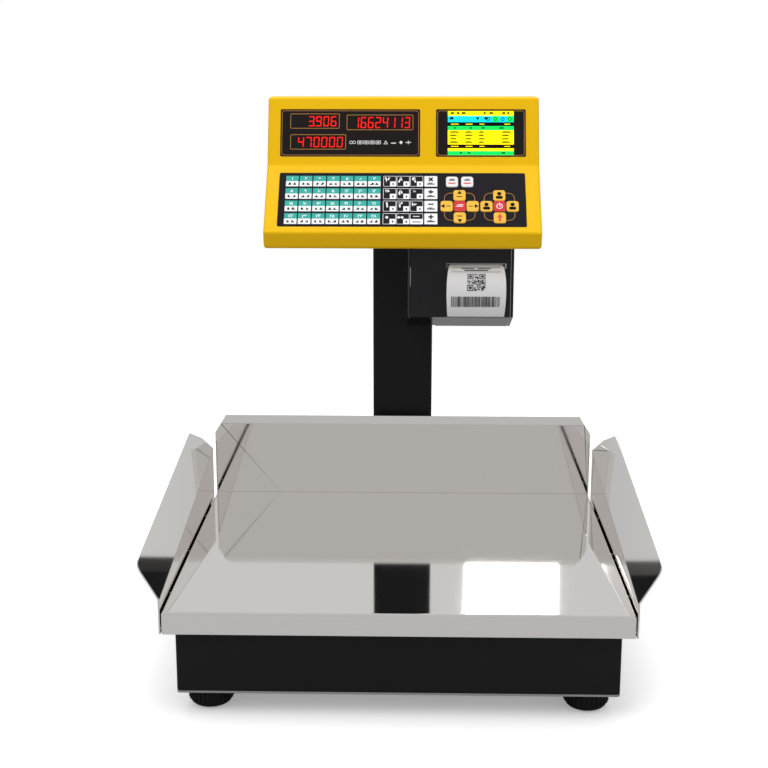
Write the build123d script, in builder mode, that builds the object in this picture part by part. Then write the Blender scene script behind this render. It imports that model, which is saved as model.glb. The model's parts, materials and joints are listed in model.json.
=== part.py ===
"""Label printing scale: a steel tray on a levelled base, with a console and a label printer on a post.

X runs to the user's right, -Y faces the user and +Z is up. The origin is on the floor, at the middle of
the object's width and depth. All sizes are in millimetres. A "depth" is measured back from the tray's
front edge.
"""

import os
from math import acos, atan2, cos, degrees, hypot, radians, sin

from build123d import *

# ---------------------------------------------------------------- driving sizes: layout
console_rear_depth = 410.0      # the rearmost face, which sets the footprint's depth
foot_height = 20.5              # floor to the underside of the base
base_width = 376.0
base_front_depth = 8.0
base_rear_depth = 346.0
base_height = 60.0
pan_width = 400.0               # over the two side walls
pan_depth = 333.0               # front edge to the back face of the back guard
pan_top = 97.0                  # weighing surface above the floor

# ---------------------------------------------------------------- driving sizes: tray sheet metal
sheet = 1.5
sheet_gap = 1.0                 # open joint between neighbouring sheets of the tray
bend = 2.5                      # outer bend radius
front_skirt = 20.0
side_skirt = 14.0
rear_skirt = 12.0
hem_depth = 6.0
guard_depth = 318.0             # length of a side guard
fold_front = 10.0               # height of a side guard's fold above the pan, at the front
fold_back = 51.0                # and at the back
flare_out = 21.5                # how far the upper strip leans outwards
flare_up = 20.5                 # and how far it rises
flare_front_slant = 22.0
flare_corner = 16.0
flare_rear_step = 15.0
flare_rear_lead = 1.5
fold_overlap = 1.0              # a flange's root inside the wall it is folded from
flare_rear_cut = 9.5
back_guard_half = 198.0
back_guard_rise = 75.0
back_flange_back = 5.0
back_flange_up = 7.0
back_chamfer_start = 65.0
back_flange_half = 187.0
guard_screw_r = 2.0
guard_screw_head_r = 3.8
guard_screw_head = 2.2
guard_screw_drop = 8.0          # screw line below the weighing surface
guard_screw_depths = (60.0, 165.0, 270.0)
back_screw_x = 120.0

# ---------------------------------------------------------------- driving sizes: base
base_sheet = 2.0
base_plate_thick = 2.0
base_flange = 12.0
base_corner = 3.0
base_screw_r = 2.0
base_screw_head_r = 3.8
base_screw_head = 2.0
base_screw_length = 10.0
hole_clearance = 0.1            # a screw's hole over its shank, on the radius
foot_relief = 28.5              # square opening in the folded edge round each foot's nut
foot_inset = 25.5               # foot centre in from the base's sides
foot_inset_y = 27.0             # foot centre in from the base's front and rear
foot_nut_height = 10.0
foot_nut_r = 9.5
stud_r = 4.75
stud_clearance = 0.3
stud_top_above_nut = 6.0
knob_r = 19.0
knob_gap = 0.7                  # knob top to the base's underside
knob_bottom = 1.5
knob_round = 5.0
knob_ribs = 28
knob_rib_r = 1.3
foot_pad_r = 12.0
foot_pad_height = 4.0
pad_clearance = 0.3

# ---------------------------------------------------------------- driving sizes: weighing cell and platform
cell_length = 150.0
cell_width = 26.0
cell_height = 40.0
cell_block_height = 5.0
cell_end = 36.0                 # length of each clamped end
cell_flexure_r = 9.0
cell_flexure_spacing = 56.0
cell_slot = 7.0
cell_bolt_r = 3.0
cell_bolt_pitch = 16.0
cell_bolt_clearance = 0.2
cell_bolt_head_r = 5.0
cell_bolt_head = 4.0
platform_gap = 4.0              # base top to the platform's arms
platform_thick = 6.0
platform_arm = 32.0
platform_pad_x = 150.0
platform_pad_y = 115.0
platform_pad_r = 13.0
platform_hub_r = 46.0
hub_clearance = 4.0             # around the hub where it passes through the base
stop_gap = 0.6                  # overload screws to the arms
stop_screw_r = 3.0
stop_screw_head_r = 5.5
stop_screw_length = 16.0
stop_inset = 22.0               # stop screws in from the pads, towards the hub

# ---------------------------------------------------------------- driving sizes: electrics in the base
inlet_x = -128.0
inlet_z = 52.0
inlet_width = 30.0
inlet_height = 23.0
inlet_flange = 2.0
inlet_body_depth = 26.0
inlet_socket_width = 24.5
inlet_socket_height = 16.5
inlet_socket_depth = 17.0
inlet_pin = (4.0, 2.0, 14.0)
inlet_pin_spacing = 7.0
inlet_key = 4.0
rocker_x = -86.0
rocker_width = 12.0
rocker_length = 24.0
rocker_tilt = 8.0
rocker_frame = 2.5
rocker_travel_gap = 1.0
rocker_body_depth = 16.0
rocker_root = 6.0               # rocker's back behind its hinge
rocker_end_rise = 3.6           # its ends and its middle in front of the hinge
rocker_middle_rise = 2.4
rocker_root_step = 1.0
rocker_end_gap = 2.2
rocker_side_gap = 0.4
snap_gap = 0.2                  # a fitted body in its hole, each side
port_panel_x = 118.0
port_panel_width = 74.0
port_panel_height = 30.0
port_panel_thick = 1.5
port_openings = ((-24.0, 12.0, 10.0), (-6.0, 12.0, 6.0), (20.0, 20.0, 10.0))   # middle, width, height
supply_size = (100.0, 60.0, 32.0)
supply_x = -95.0
supply_depth = 268.0

# ---------------------------------------------------------------- driving sizes: post
post_width = 62.0
post_thick = 40.0
post_wall = 2.0
post_corner = 4.0
post_front_depth = 350.0
post_top = 446.0
bracket_width = 128.0
bracket_ear = 30.0
bracket_bolt_r = 3.0
bracket_bolt_x = 50.0
bracket_bolt_z = (34.0, 68.0)
bracket_bolt_head_r = 5.0
bracket_bolt_head = 4.0
cross_bolt_r = 4.0
cross_bolt_head_r = 6.5
cross_bolt_head = 5.0
cross_bolt_inset = 14.0         # from the bracket's top and bottom
bracket_headroom = 2.0          # bracket top to the base's top
bolt_end = 6.0                  # bolt's length past what it clamps
cable_hole_r = 9.0
collar_height = 34.0
collar_wall = 2.5
collar_plate_width = 150.0

# ---------------------------------------------------------------- driving sizes: console
console_width = 275.0
console_wall = 3.0
console_top_depth = 357.6
console_top = 508.8
display_lean = 20.0
display_length = 71.0
keys_lean = 40.0
keys_length = 81.4
lip_back = 4.0
lip_drop = 16.3
console_rear_break = 440.0
console_crown_depth = 392.0
parting_top_depth = 374.0
parting_bottom_depth = 345.0
parting_margin = 10.0
console_edge = 4.0
console_fold_radius = 10.0
console_end_edge = 3.0
post_entry_clearance = 1.0
window_thick = 2.0
window_lip = 4.0
led_window_left = -124.5
led_window_right = 17.0
lcd_window_left = 33.3
lcd_window_right = 123.8
window_top = 13.0               # down the display face from its top edge
window_bottom = 62.2
overlay_thick = 1.0
overlay_left = -124.0
overlay_right = 122.5
overlay_top = 9.8               # down the keyboard face from the fold
overlay_bottom = 74.0
window_corner = 1.5
board_thick = 1.6
board_margin = 6.0
led_digit = (9.0, 14.0, 6.0)
led_rows = ((-89.6, 25.3, 4), (-23.6, 26.6, 6), (-86.2, 47.1, 5))
lcd_module_thick = 5.0
module_gap = 0.3                # screen module to its seat, each side
key_board_thick = 3.0
key_width = 12.0
key_height = 12.4
key_corner = 2.6
key_gap = 0.4
key_proud = 1.0
key_lift = 0.6                  # free height under a cap, of which it travels 0.5
key_edge = 0.35
cluster_x = (56.6, 96.1)
cluster_down = 50.1
arm_x = 12.9
arm_up = 12.9
arm_down = 13.6
top_key_x = (49.2, 64.4)
top_key_down = 20.8
main_board_size = (50.0, 44.0)
main_board_x = -106.0
main_board_z = 404.0
main_board_inset = 8.0
customer_width = 150.0
customer_height = 34.0
customer_z = 402.0
customer_thick = 14.0
head_screw_r = 1.6
head_screw_head_r = 3.0
head_screw_head = 2.0
head_screw_length = 14.0
head_screw_x = 118.0
head_screw_z = (376.0, 432.0)

# ---------------------------------------------------------------- driving sizes: label printer
printer_left = 5.0
printer_right = 112.0
printer_front_depth = 303.0
printer_rear_depth = 402.0
printer_chin_depth = 350.0
printer_bottom = 274.0
printer_chin = 292.0
printer_wall = 2.5
printer_corner = 10.0
post_clearance = 3.0
door_thick = 2.7
door_gap = 0.4
door_top_gap = 1.0
hinge_r = 3.2
hinge_pin_r = 1.5
hinge_clearance = 0.3
hinge_behind = 3.9
hinge_inside = 2.4
hinge_leaf = 9.0
hinge_pin_clearance = 0.08
hinge_knuckle = 7.0
hinge_knuckle_z = (290.0, 336.0)
label_width = 57.0
label_x = 74.0
label_thick = 0.3
roll_r = 36.0
roll_core_r = 12.7
roll_depth = 360.0
roll_z = 316.0
spindle_clearance = 0.4
spindle_bore_r = 8.0
platen_r = 6.0
platen_shaft_r = 2.5
platen_depth = 316.5
platen_z = 338.0
nip_gap = 0.3
gear_module = 0.75
platen_teeth = 24
pinion_teeth = 12
gear_width = 5.0
gear_left = 36.0
gear_phase = -39.0              # direction of the motor from the platen, seen along X
tooth_share = 0.42
cheek_thick = 2.0
cheek_left = 42.0
cheek_right = 104.5
cheek_reach = 20.0
cheek_bottom = 330.0
cheek_top = 358.0
motor_r = 12.5
motor_right = 34.0
motor_shaft_r = 1.5
print_head_size = (60.0, 12.0, 9.0)
slot_height = 5.0
label_bulge = 12.0
label_drop = 51.0
roll_web_gap = 0.6
door_grip_inset = 12.0
door_grip_length = 24.0
door_grip_width = 6.0

# ---------------------------------------------------------------- sizes that follow
front_y = -(console_rear_depth + head_screw_head) / 2
pan_half = pan_width / 2
plate_half = pan_half - sheet - sheet_gap
base_front_y = front_y + base_front_depth
base_rear_y = front_y + base_rear_depth
base_centre_y = (base_front_y + base_rear_y) / 2
base_depth = base_rear_y - base_front_y
base_top = foot_height + base_height
plate_top = foot_height + base_plate_thick
pan_centre_y = front_y + pan_depth / 2
back_guard_y = front_y + pan_depth
pan_rear_y = back_guard_y - sheet - sheet_gap
guard_screw_z = pan_top - guard_screw_drop
post_front_y = front_y + post_front_depth
post_rear_y = post_front_y + post_thick
post_centre_y = (post_front_y + post_rear_y) / 2
bracket_thick = post_front_depth - base_rear_depth
foot_x = base_width / 2 - foot_inset
foot_ys = {"f": base_front_y + foot_inset_y, "r": base_rear_y - foot_inset_y}
foot_places = {row + side: (sign * foot_x, foot_ys[row])
               for row in "fr" for side, sign in (("l", -1), ("r", 1))}

os.makedirs("parts", exist_ok=True)


def plane_facing_y(y):
    """A plane at Y = y whose local x is X and local y is Z, facing the user."""
    return Plane(origin=(0, y, 0), x_dir=(1, 0, 0), z_dir=(0, -1, 0))


def plane_facing_x(x):
    """A plane at X = x whose local x is Y and local y is Z."""
    return Plane(origin=(x, 0, 0), x_dir=(0, 1, 0), z_dir=(1, 0, 0))


def spur_points(teeth, phase):
    """The corners of a spur gear's outline, with one tooth centred on the angle phase, in degrees."""
    pitch_r = gear_module * teeth / 2
    tip_r = pitch_r + 0.85 * gear_module
    root_r = pitch_r - 1.2 * gear_module
    pitch_angle = 360 / teeth
    root_half = pitch_angle * (tooth_share / 2 + 0.09)
    tip_half = pitch_angle * (tooth_share / 2 - 0.11)
    corners = ((root_r, -root_half), (tip_r, -tip_half), (tip_r, tip_half), (root_r, root_half))
    points = []
    for tooth in range(teeth):
        middle = phase + tooth * pitch_angle
        for radius, angle in corners:
            turn = radians(middle + angle)
            points.append((radius * cos(turn), radius * sin(turn)))
    return points


# ---------------------------------------------------------------- tray
with BuildPart() as tray_pan:
    with BuildSketch(Plane.XY.offset(pan_top - front_skirt)):
        with Locations((0, (front_y + pan_rear_y) / 2)):
            Rectangle(2 * plate_half, pan_rear_y - front_y)
    extrude(amount=front_skirt)
    fillet(tray_pan.edges().group_by(Axis.Z)[-1], bend)
    offset(amount=-sheet, openings=tray_pan.faces().sort_by(Axis.Z)[0])
    with BuildSketch(Plane.XY.offset(pan_top - front_skirt)):
        with Locations((0, (front_y + bend + pan_rear_y + bend) / 2)):
            Rectangle(2 * pan_half, pan_rear_y - front_y)
    extrude(amount=front_skirt - side_skirt, mode=Mode.SUBTRACT)
    with BuildSketch(Plane.XY.offset(pan_top - side_skirt)):
        with Locations((0, pan_rear_y)):
            Rectangle(2 * (plate_half - bend), 2 * bend)
    extrude(amount=side_skirt - rear_skirt, mode=Mode.SUBTRACT)
    with BuildSketch(Plane.XY.offset(pan_top - front_skirt)):
        with Locations((0, front_y + sheet / 2 + hem_depth / 2)):
            Rectangle(2 * (plate_half - bend), hem_depth)
    extrude(amount=sheet)
    for screw_depth in guard_screw_depths:
        with Locations(Plane.YZ * Location((front_y + screw_depth, guard_screw_z))):
            Cylinder(guard_screw_r + hole_clearance, 2 * pan_width, mode=Mode.SUBTRACT)
    with Locations(plane_facing_y(pan_rear_y)):
        with Locations((-back_screw_x, guard_screw_z), (back_screw_x, guard_screw_z)):
            Hole(guard_screw_r + hole_clearance, depth=2 * bend)
tray_pan.part.label = "tray_pan"
export_step(tray_pan.part, "parts/tray_pan.step")

fold_length = hypot(guard_depth, fold_back - fold_front)
flare_across = hypot(flare_out, flare_up)
fold_start = Vector(pan_half, front_y, pan_top + fold_front)
fold_way = Vector(0, guard_depth, fold_back - fold_front).normalized()
flare_normal = Vector(flare_out, 0, flare_up).cross(fold_way).normalized()
flare_plane = Plane(origin=fold_start, x_dir=fold_way, z_dir=flare_normal)

with BuildPart() as right_guard:
    with BuildSketch(plane_facing_x(pan_half)):
        with BuildLine():
            Polyline(
                (front_y, pan_top - front_skirt),
                (front_y + guard_depth, pan_top - front_skirt),
                (front_y + guard_depth, pan_top + fold_back),
                (front_y, pan_top + fold_front),
                close=True,
            )
        make_face()
    extrude(amount=-sheet)
    with BuildSketch(flare_plane) as flare:
        with BuildLine():
            Polyline(
                (0, fold_overlap),
                (fold_length, fold_overlap),
                (fold_length + flare_rear_lead, -flare_rear_step),
                (fold_length - flare_rear_cut, -flare_across),
                (flare_front_slant, -flare_across),
                close=True,
            )
        make_face()
        fillet(flare.vertices().sort_by_distance((flare_front_slant, -flare_across))[0], flare_corner)
    extrude(amount=sheet)
    with BuildSketch(Plane.XY.offset(pan_top - front_skirt)):
        with Locations((pan_half - hem_depth / 2, front_y + guard_depth / 2)):
            Rectangle(hem_depth, guard_depth - 4 * hem_depth)
    extrude(amount=sheet)
    for screw_depth in guard_screw_depths:
        with Locations(Plane.YZ * Location((front_y + screw_depth, guard_screw_z))):
            Cylinder(guard_screw_r + hole_clearance, 2 * pan_width, mode=Mode.SUBTRACT)
right_guard.part.label = "right_guard"
export_step(right_guard.part, "parts/right_guard.step")

with BuildPart() as left_guard:
    mirror(right_guard.part, about=Plane.YZ)
left_guard.part.label = "left_guard"
export_step(left_guard.part, "parts/left_guard.step")

back_chamfer_rise = back_guard_rise + back_flange_up - back_chamfer_start
chamfer_share = (back_guard_rise - back_chamfer_start) / back_chamfer_rise
back_fold_half = back_guard_half - (back_guard_half - back_flange_half) * chamfer_share
flange_lean = Vector(0, back_flange_back, back_flange_up)
flange_plane = Plane(origin=(0, back_guard_y, pan_top + back_guard_rise), x_dir=(1, 0, 0),
                     z_dir=(0, -back_flange_up, back_flange_back))

with BuildPart() as back_guard:
    with BuildSketch(plane_facing_y(back_guard_y)):
        with BuildLine():
            Polyline(
                (-back_guard_half, pan_top - rear_skirt),
                (back_guard_half, pan_top - rear_skirt),
                (back_guard_half, pan_top + back_chamfer_start),
                (back_fold_half, pan_top + back_guard_rise),
                (-back_fold_half, pan_top + back_guard_rise),
                (-back_guard_half, pan_top + back_chamfer_start),
                close=True,
            )
        make_face()
    extrude(amount=sheet)
    with BuildSketch(flange_plane):
        with BuildLine():
            Polyline(
                (-back_fold_half, -fold_overlap),
                (back_fold_half, -fold_overlap),
                (back_flange_half, flange_lean.length),
                (-back_flange_half, flange_lean.length),
                close=True,
            )
        make_face()
    extrude(amount=sheet)
    with Locations(plane_facing_y(back_guard_y)):
        with Locations((-back_screw_x, guard_screw_z), (back_screw_x, guard_screw_z)):
            Cylinder(guard_screw_r + hole_clearance, 4 * sheet, mode=Mode.SUBTRACT)
back_guard.part.label = "back_guard"
export_step(back_guard.part, "parts/back_guard.step")

guard_screw_length = sheet + sheet_gap + sheet + 4
with BuildPart() as guard_screws:
    for side in (-1, 1):
        for screw_depth in guard_screw_depths:
            face = Plane(origin=(side * pan_half, front_y + screw_depth, guard_screw_z), z_dir=(side, 0, 0))
            with Locations(face):
                Cylinder(guard_screw_head_r, guard_screw_head, align=(Align.CENTER, Align.CENTER, Align.MIN))
                Cylinder(guard_screw_r, guard_screw_length, align=(Align.CENTER, Align.CENTER, Align.MAX))
    for screw_x in (-back_screw_x, back_screw_x):
        with Locations(Plane(origin=(screw_x, back_guard_y, guard_screw_z), z_dir=(0, 1, 0))):
            Cylinder(guard_screw_head_r, guard_screw_head, align=(Align.CENTER, Align.CENTER, Align.MIN))
            Cylinder(guard_screw_r, guard_screw_length, align=(Align.CENTER, Align.CENTER, Align.MAX))
guard_screws.part.label = "guard_screws"
export_step(guard_screws.part, "parts/guard_screws.step")

# ---------------------------------------------------------------- platform and weighing cell
cell_bottom = plate_top + cell_block_height
cell_top = cell_bottom + cell_height
hub_x = (cell_length - cell_end) / 2
arms_bottom = base_top + platform_gap
arms_top = arms_bottom + platform_thick
pad_height = pan_top - sheet - arms_top
pad_places = [(x * platform_pad_x, pan_centre_y + y * platform_pad_y) for x in (-1, 1) for y in (-1, 1)]
hub_size = (cell_end, cell_width)
arm_angle = degrees(atan2(platform_pad_y, platform_pad_x))
arm_length = 2 * hypot(platform_pad_x, platform_pad_y)
stop_places = [(x * (platform_pad_x - stop_inset), pan_centre_y + y * (platform_pad_y - stop_inset *
               platform_pad_y / platform_pad_x)) for x in (-1, 1) for y in (-1, 1)]
cell_bolt_places = [(-hub_x + side * cell_bolt_pitch / 2, pan_centre_y) for side in (-1, 1)]

with BuildPart() as cell_base_block:
    with BuildSketch(Plane.XY.offset(plate_top)):
        with Locations((-hub_x, pan_centre_y)):
            Rectangle(cell_end, cell_width)
        with Locations(*cell_bolt_places):
            Circle(cell_bolt_r + cell_bolt_clearance, mode=Mode.SUBTRACT)
    extrude(amount=cell_block_height)
cell_base_block.part.label = "cell_base_block"
export_step(cell_base_block.part, "parts/cell_base_block.step")

with BuildPart() as load_cell:
    with BuildSketch(plane_facing_y(pan_centre_y)):
        with Locations((0, cell_bottom + cell_height / 2)):
            Rectangle(cell_length, cell_height)
            Rectangle(cell_flexure_spacing, cell_slot, mode=Mode.SUBTRACT)
        with Locations((-cell_flexure_spacing / 2, cell_bottom + cell_height / 2),
                       (cell_flexure_spacing / 2, cell_bottom + cell_height / 2)):
            Circle(cell_flexure_r, mode=Mode.SUBTRACT)
    extrude(amount=cell_width / 2, both=True)
    with BuildSketch(Plane.XY.offset(cell_bottom)):
        with Locations(*cell_bolt_places):
            Circle(cell_bolt_r + cell_bolt_clearance)
    extrude(amount=cell_height / 2, mode=Mode.SUBTRACT)
load_cell.part.label = "load_cell"
export_step(load_cell.part, "parts/load_cell.step")

cell_bolt_reach = base_plate_thick + cell_block_height + cell_height / 2 - 2
with BuildPart() as cell_bolts:
    with Locations(*[(x, y, foot_height) for x, y in cell_bolt_places]):
        Cylinder(cell_bolt_r, cell_bolt_reach, align=(Align.CENTER, Align.CENTER, Align.MIN))
        Cylinder(cell_bolt_head_r, cell_bolt_head, align=(Align.CENTER, Align.CENTER, Align.MAX))
cell_bolts.part.label = "cell_bolts"
export_step(cell_bolts.part, "parts/cell_bolts.step")

with BuildPart() as platform:
    with BuildSketch(Plane.XY.offset(arms_bottom)):
        with Locations((0, pan_centre_y)):
            Circle(platform_hub_r)
            SlotOverall(arm_length + platform_arm, platform_arm, rotation=arm_angle)
            SlotOverall(arm_length + platform_arm, platform_arm, rotation=-arm_angle)
        with Locations((hub_x / 2, pan_centre_y)):
            Rectangle(hub_x + cell_end, 2 * cell_width)
    extrude(amount=platform_thick)
    with BuildSketch(Plane.XY.offset(cell_top)):
        with Locations((hub_x, pan_centre_y)):
            Rectangle(*hub_size)
    extrude(amount=arms_bottom - cell_top)
platform.part.label = "platform"
export_step(platform.part, "parts/platform.step")

with BuildPart() as platform_pads:
    with Locations(*[(x, y, arms_top) for x, y in pad_places]):
        Cylinder(platform_pad_r, pad_height, align=(Align.CENTER, Align.CENTER, Align.MIN))
platform_pads.part.label = "platform_pads"
export_step(platform_pads.part, "parts/platform_pads.step")

# ---------------------------------------------------------------- base
flange_middle = base_sheet + base_flange / 2
corner_signs = [(x, y) for x in (-1, 1) for y in (-1, 1)]
flange_screw_places = [(x * (base_width / 2 - flange_middle), base_centre_y + y * base_depth / 4)
                       for x, y in corner_signs]
flange_screw_places += [(x * base_width / 4, base_centre_y + y * (base_depth / 2 - flange_middle))
                        for x, y in corner_signs]

with BuildPart() as base_housing:
    with BuildSketch(Plane.XY.offset(plate_top)):
        with Locations((0, base_centre_y)):
            Rectangle(base_width, base_depth)
    extrude(amount=base_height - base_plate_thick)
    fillet(base_housing.edges().filter_by(Axis.Z), base_corner)
    fillet(base_housing.edges().group_by(Axis.Z)[-1], base_corner - 0.5)
    offset(amount=-base_sheet, openings=base_housing.faces().sort_by(Axis.Z)[0])
    with BuildSketch(Plane.XY.offset(plate_top)):
        with Locations((0, base_centre_y)):
            Rectangle(base_width - base_sheet, base_depth - base_sheet)
            Rectangle(base_width - 2 * (base_sheet + base_flange),
                      base_depth - 2 * (base_sheet + base_flange), mode=Mode.SUBTRACT)
        with Locations(*flange_screw_places):
            Circle(base_screw_r + hole_clearance, mode=Mode.SUBTRACT)
        with Locations(*foot_places.values()):
            Rectangle(foot_relief, foot_relief, mode=Mode.SUBTRACT)
    extrude(amount=base_sheet)
    with BuildSketch(Plane.XY.offset(base_top - 2 * base_sheet)):
        with Locations((hub_x, pan_centre_y)):
            Rectangle(cell_end + 2 * hub_clearance, cell_width + 2 * hub_clearance)
        with Locations(*stop_places):
            Circle(stop_screw_r + hole_clearance)
    extrude(amount=3 * base_sheet, mode=Mode.SUBTRACT)
    with BuildSketch(plane_facing_y(base_rear_y)):
        with Locations((inlet_x, inlet_z)):
            Rectangle(inlet_width - 2 * inlet_flange, inlet_height - 2 * inlet_flange)
        with Locations((rocker_x, inlet_z)):
            Rectangle(rocker_width + 2 * rocker_frame, rocker_length)
        with Locations((port_panel_x, inlet_z)):
            Rectangle(port_panel_width - 10, port_panel_height - 10)
        with Locations((0, inlet_z)):
            Circle(cable_hole_r)
        with Locations(*[(x * bracket_bolt_x, z) for x in (-1, 1) for z in bracket_bolt_z]):
            Circle(bracket_bolt_r + hole_clearance)
    extrude(amount=2 * base_sheet, mode=Mode.SUBTRACT)
base_housing.part.label = "base_housing"
export_step(base_housing.part, "parts/base_housing.step")

with BuildPart() as base_plate:
    with BuildSketch(Plane.XY.offset(foot_height)):
        with Locations((0, base_centre_y)):
            RectangleRounded(base_width, base_depth, base_corner)
    extrude(amount=base_plate_thick)
    with BuildSketch(Plane.XY.offset(plate_top)):
        with Locations(*foot_places.values()):
            RegularPolygon(foot_nut_r, 6)
    extrude(amount=foot_nut_height)
    with BuildSketch(Plane.XY.offset(foot_height)):
        with Locations(*foot_places.values()):
            Circle(stud_r + stud_clearance)
        with Locations(*flange_screw_places):
            Circle(base_screw_r + hole_clearance)
        with Locations(*cell_bolt_places):
            Circle(cell_bolt_r + cell_bolt_clearance)
    extrude(amount=base_plate_thick + foot_nut_height, mode=Mode.SUBTRACT)
base_plate.part.label = "base_plate"
export_step(base_plate.part, "parts/base_plate.step")

stop_head = platform_gap - stop_gap
with BuildPart() as base_screws:
    with Locations(*[(x, y, foot_height) for x, y in flange_screw_places]):
        Cylinder(base_screw_r, base_screw_length, align=(Align.CENTER, Align.CENTER, Align.MIN))
        Cylinder(base_screw_head_r, base_screw_head, align=(Align.CENTER, Align.CENTER, Align.MAX))
    with BuildSketch(Plane.XY.offset(base_top)):
        with Locations(*stop_places):
            RegularPolygon(stop_screw_head_r, 6)
    extrude(amount=stop_head)
    with Locations(*[(x, y, base_top) for x, y in stop_places]):
        Cylinder(stop_screw_r, stop_screw_length, align=(Align.CENTER, Align.CENTER, Align.MAX))
base_screws.part.label = "base_screws"
export_step(base_screws.part, "parts/base_screws.step")

# ---------------------------------------------------------------- levelling feet
knob_top = foot_height - knob_gap
stud_top = plate_top + foot_nut_height + stud_top_above_nut
for corner, (x, y) in foot_places.items():
    with BuildPart() as foot_pad:
        with Locations((x, y, 0)):
            Cylinder(foot_pad_r, foot_pad_height, align=(Align.CENTER, Align.CENTER, Align.MIN))
        fillet(foot_pad.edges().group_by(Axis.Z)[0], 0.8)
    foot_pad.part.label = f"foot_pad_{corner}"
    export_step(foot_pad.part, f"parts/foot_pad_{corner}.step")

    with BuildPart() as foot_knob:
        with Locations((x, y, knob_bottom)):
            Cylinder(knob_r - knob_rib_r / 2, knob_top - knob_bottom,
                     align=(Align.CENTER, Align.CENTER, Align.MIN))
        fillet(foot_knob.edges().group_by(Axis.Z)[0], knob_round)
        fillet(foot_knob.edges().group_by(Axis.Z)[-1], 1.0)
        with BuildSketch(Plane.XY.offset(knob_bottom + knob_round)):
            with Locations((x, y)):
                with PolarLocations(knob_r - knob_rib_r / 2, knob_ribs):
                    Circle(knob_rib_r)
        extrude(amount=knob_top - knob_bottom - knob_round - 1.5)
        with Locations((x, y, knob_bottom)):
            Cylinder(foot_pad_r + pad_clearance, foot_pad_height + pad_clearance - knob_bottom,
                     align=(Align.CENTER, Align.CENTER, Align.MIN), mode=Mode.SUBTRACT)
        with Locations((x, y, knob_top)):
            Cylinder(stud_r, stud_top - knob_top, align=(Align.CENTER, Align.CENTER, Align.MIN))
    foot_knob.part.label = f"foot_knob_{corner}"
    export_step(foot_knob.part, f"parts/foot_knob_{corner}.step")

# ---------------------------------------------------------------- electrics in the base
module_left = inlet_x - inlet_width / 2
module_right = rocker_x + rocker_width / 2 + 2 * rocker_frame
rear_face = Plane(origin=(0, base_rear_y, inlet_z), x_dir=(1, 0, 0), z_dir=(0, -1, 0))
with BuildPart() as power_inlet:
    with BuildSketch(rear_face.offset(-inlet_flange)):
        with Locations(((module_left + module_right) / 2, 0)):
            RectangleRounded(module_right - module_left, rocker_length + 2 * rocker_frame, 2.0)
    extrude(amount=inlet_flange)
    with BuildSketch(rear_face):
        with Locations((inlet_x, 0)):
            Rectangle(inlet_width - 2 * (inlet_flange + snap_gap),
                      inlet_height - 2 * (inlet_flange + snap_gap))
    extrude(amount=inlet_body_depth)
    with BuildSketch(rear_face):
        with Locations((rocker_x, 0)):
            Rectangle(rocker_width + 2 * (rocker_frame - snap_gap), rocker_length - 2 * snap_gap)
    extrude(amount=rocker_body_depth)
    with BuildSketch(rear_face.offset(-inlet_flange)) as socket:
        with Locations((inlet_x, 0)):
            Rectangle(inlet_socket_width, inlet_socket_height)
        chamfer(socket.vertices().group_by(Axis.Z)[-1], inlet_key)
    extrude(amount=inlet_socket_depth, mode=Mode.SUBTRACT)
    with BuildSketch(rear_face.offset(-inlet_flange)):
        with Locations((rocker_x, 0)):
            Rectangle(rocker_width + 2 * rocker_side_gap, rocker_length - 2 * rocker_root_step)
    extrude(amount=rocker_body_depth, mode=Mode.SUBTRACT)
    with BuildSketch(rear_face.offset(inlet_socket_depth - inlet_flange)):
        with Locations(*[(inlet_x + x * inlet_pin_spacing, z) for x, z in ((-1, -2), (0, 2), (1, -2))]):
            Rectangle(inlet_pin[1], inlet_pin[0])
    extrude(amount=-inlet_pin[2])
power_inlet.part.label = "power_inlet"
export_step(power_inlet.part, "parts/power_inlet.step")

rocker_hinge_y = base_rear_y - rocker_travel_gap
rocker_plane = Plane(origin=(rocker_x, rocker_hinge_y, inlet_z), z_dir=(1, 0, 0),
                     x_dir=(0, cos(radians(rocker_tilt)), sin(radians(rocker_tilt))))
rocker_half = rocker_length / 2 - rocker_end_gap
with BuildPart() as power_rocker:
    with BuildSketch(rocker_plane):
        with BuildLine():
            Polyline(
                (-rocker_root, rocker_root_step - rocker_half),
                (rocker_end_rise, -rocker_half),
                (rocker_middle_rise, 0),
                (rocker_end_rise, rocker_half),
                (-rocker_root, rocker_half - rocker_root_step),
                close=True,
            )
        make_face()
    extrude(amount=rocker_width / 2, both=True)
power_rocker.part.label = "power_rocker"
export_step(power_rocker.part, "parts/power_rocker.step")

with BuildPart() as port_panel:
    with BuildSketch(Plane(origin=(port_panel_x, base_rear_y, inlet_z), x_dir=(1, 0, 0), z_dir=(0, 1, 0))):
        RectangleRounded(port_panel_width, port_panel_height, 2.0)
        for port_x, port_width, port_height in port_openings:
            with Locations((port_x, 0)):
                Rectangle(port_width, port_height, mode=Mode.SUBTRACT)
    extrude(amount=port_panel_thick)
port_panel.part.label = "port_panel"
export_step(port_panel.part, "parts/port_panel.step")

with BuildPart() as power_supply:
    with Locations((supply_x, front_y + supply_depth, plate_top)):
        Box(*supply_size, align=(Align.CENTER, Align.CENTER, Align.MIN))
    fillet(power_supply.edges().filter_by(Axis.Z), 2.0)
power_supply.part.label = "power_supply"
export_step(power_supply.part, "parts/power_supply.step")

# ---------------------------------------------------------------- post
bracket_bottom = plate_top
bracket_height = base_height - base_plate_thick - bracket_headroom
cross_bolt_y = post_front_y + post_thick / 2
cross_bolt_zs = (bracket_bottom + cross_bolt_inset, bracket_bottom + bracket_height - cross_bolt_inset)

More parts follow.
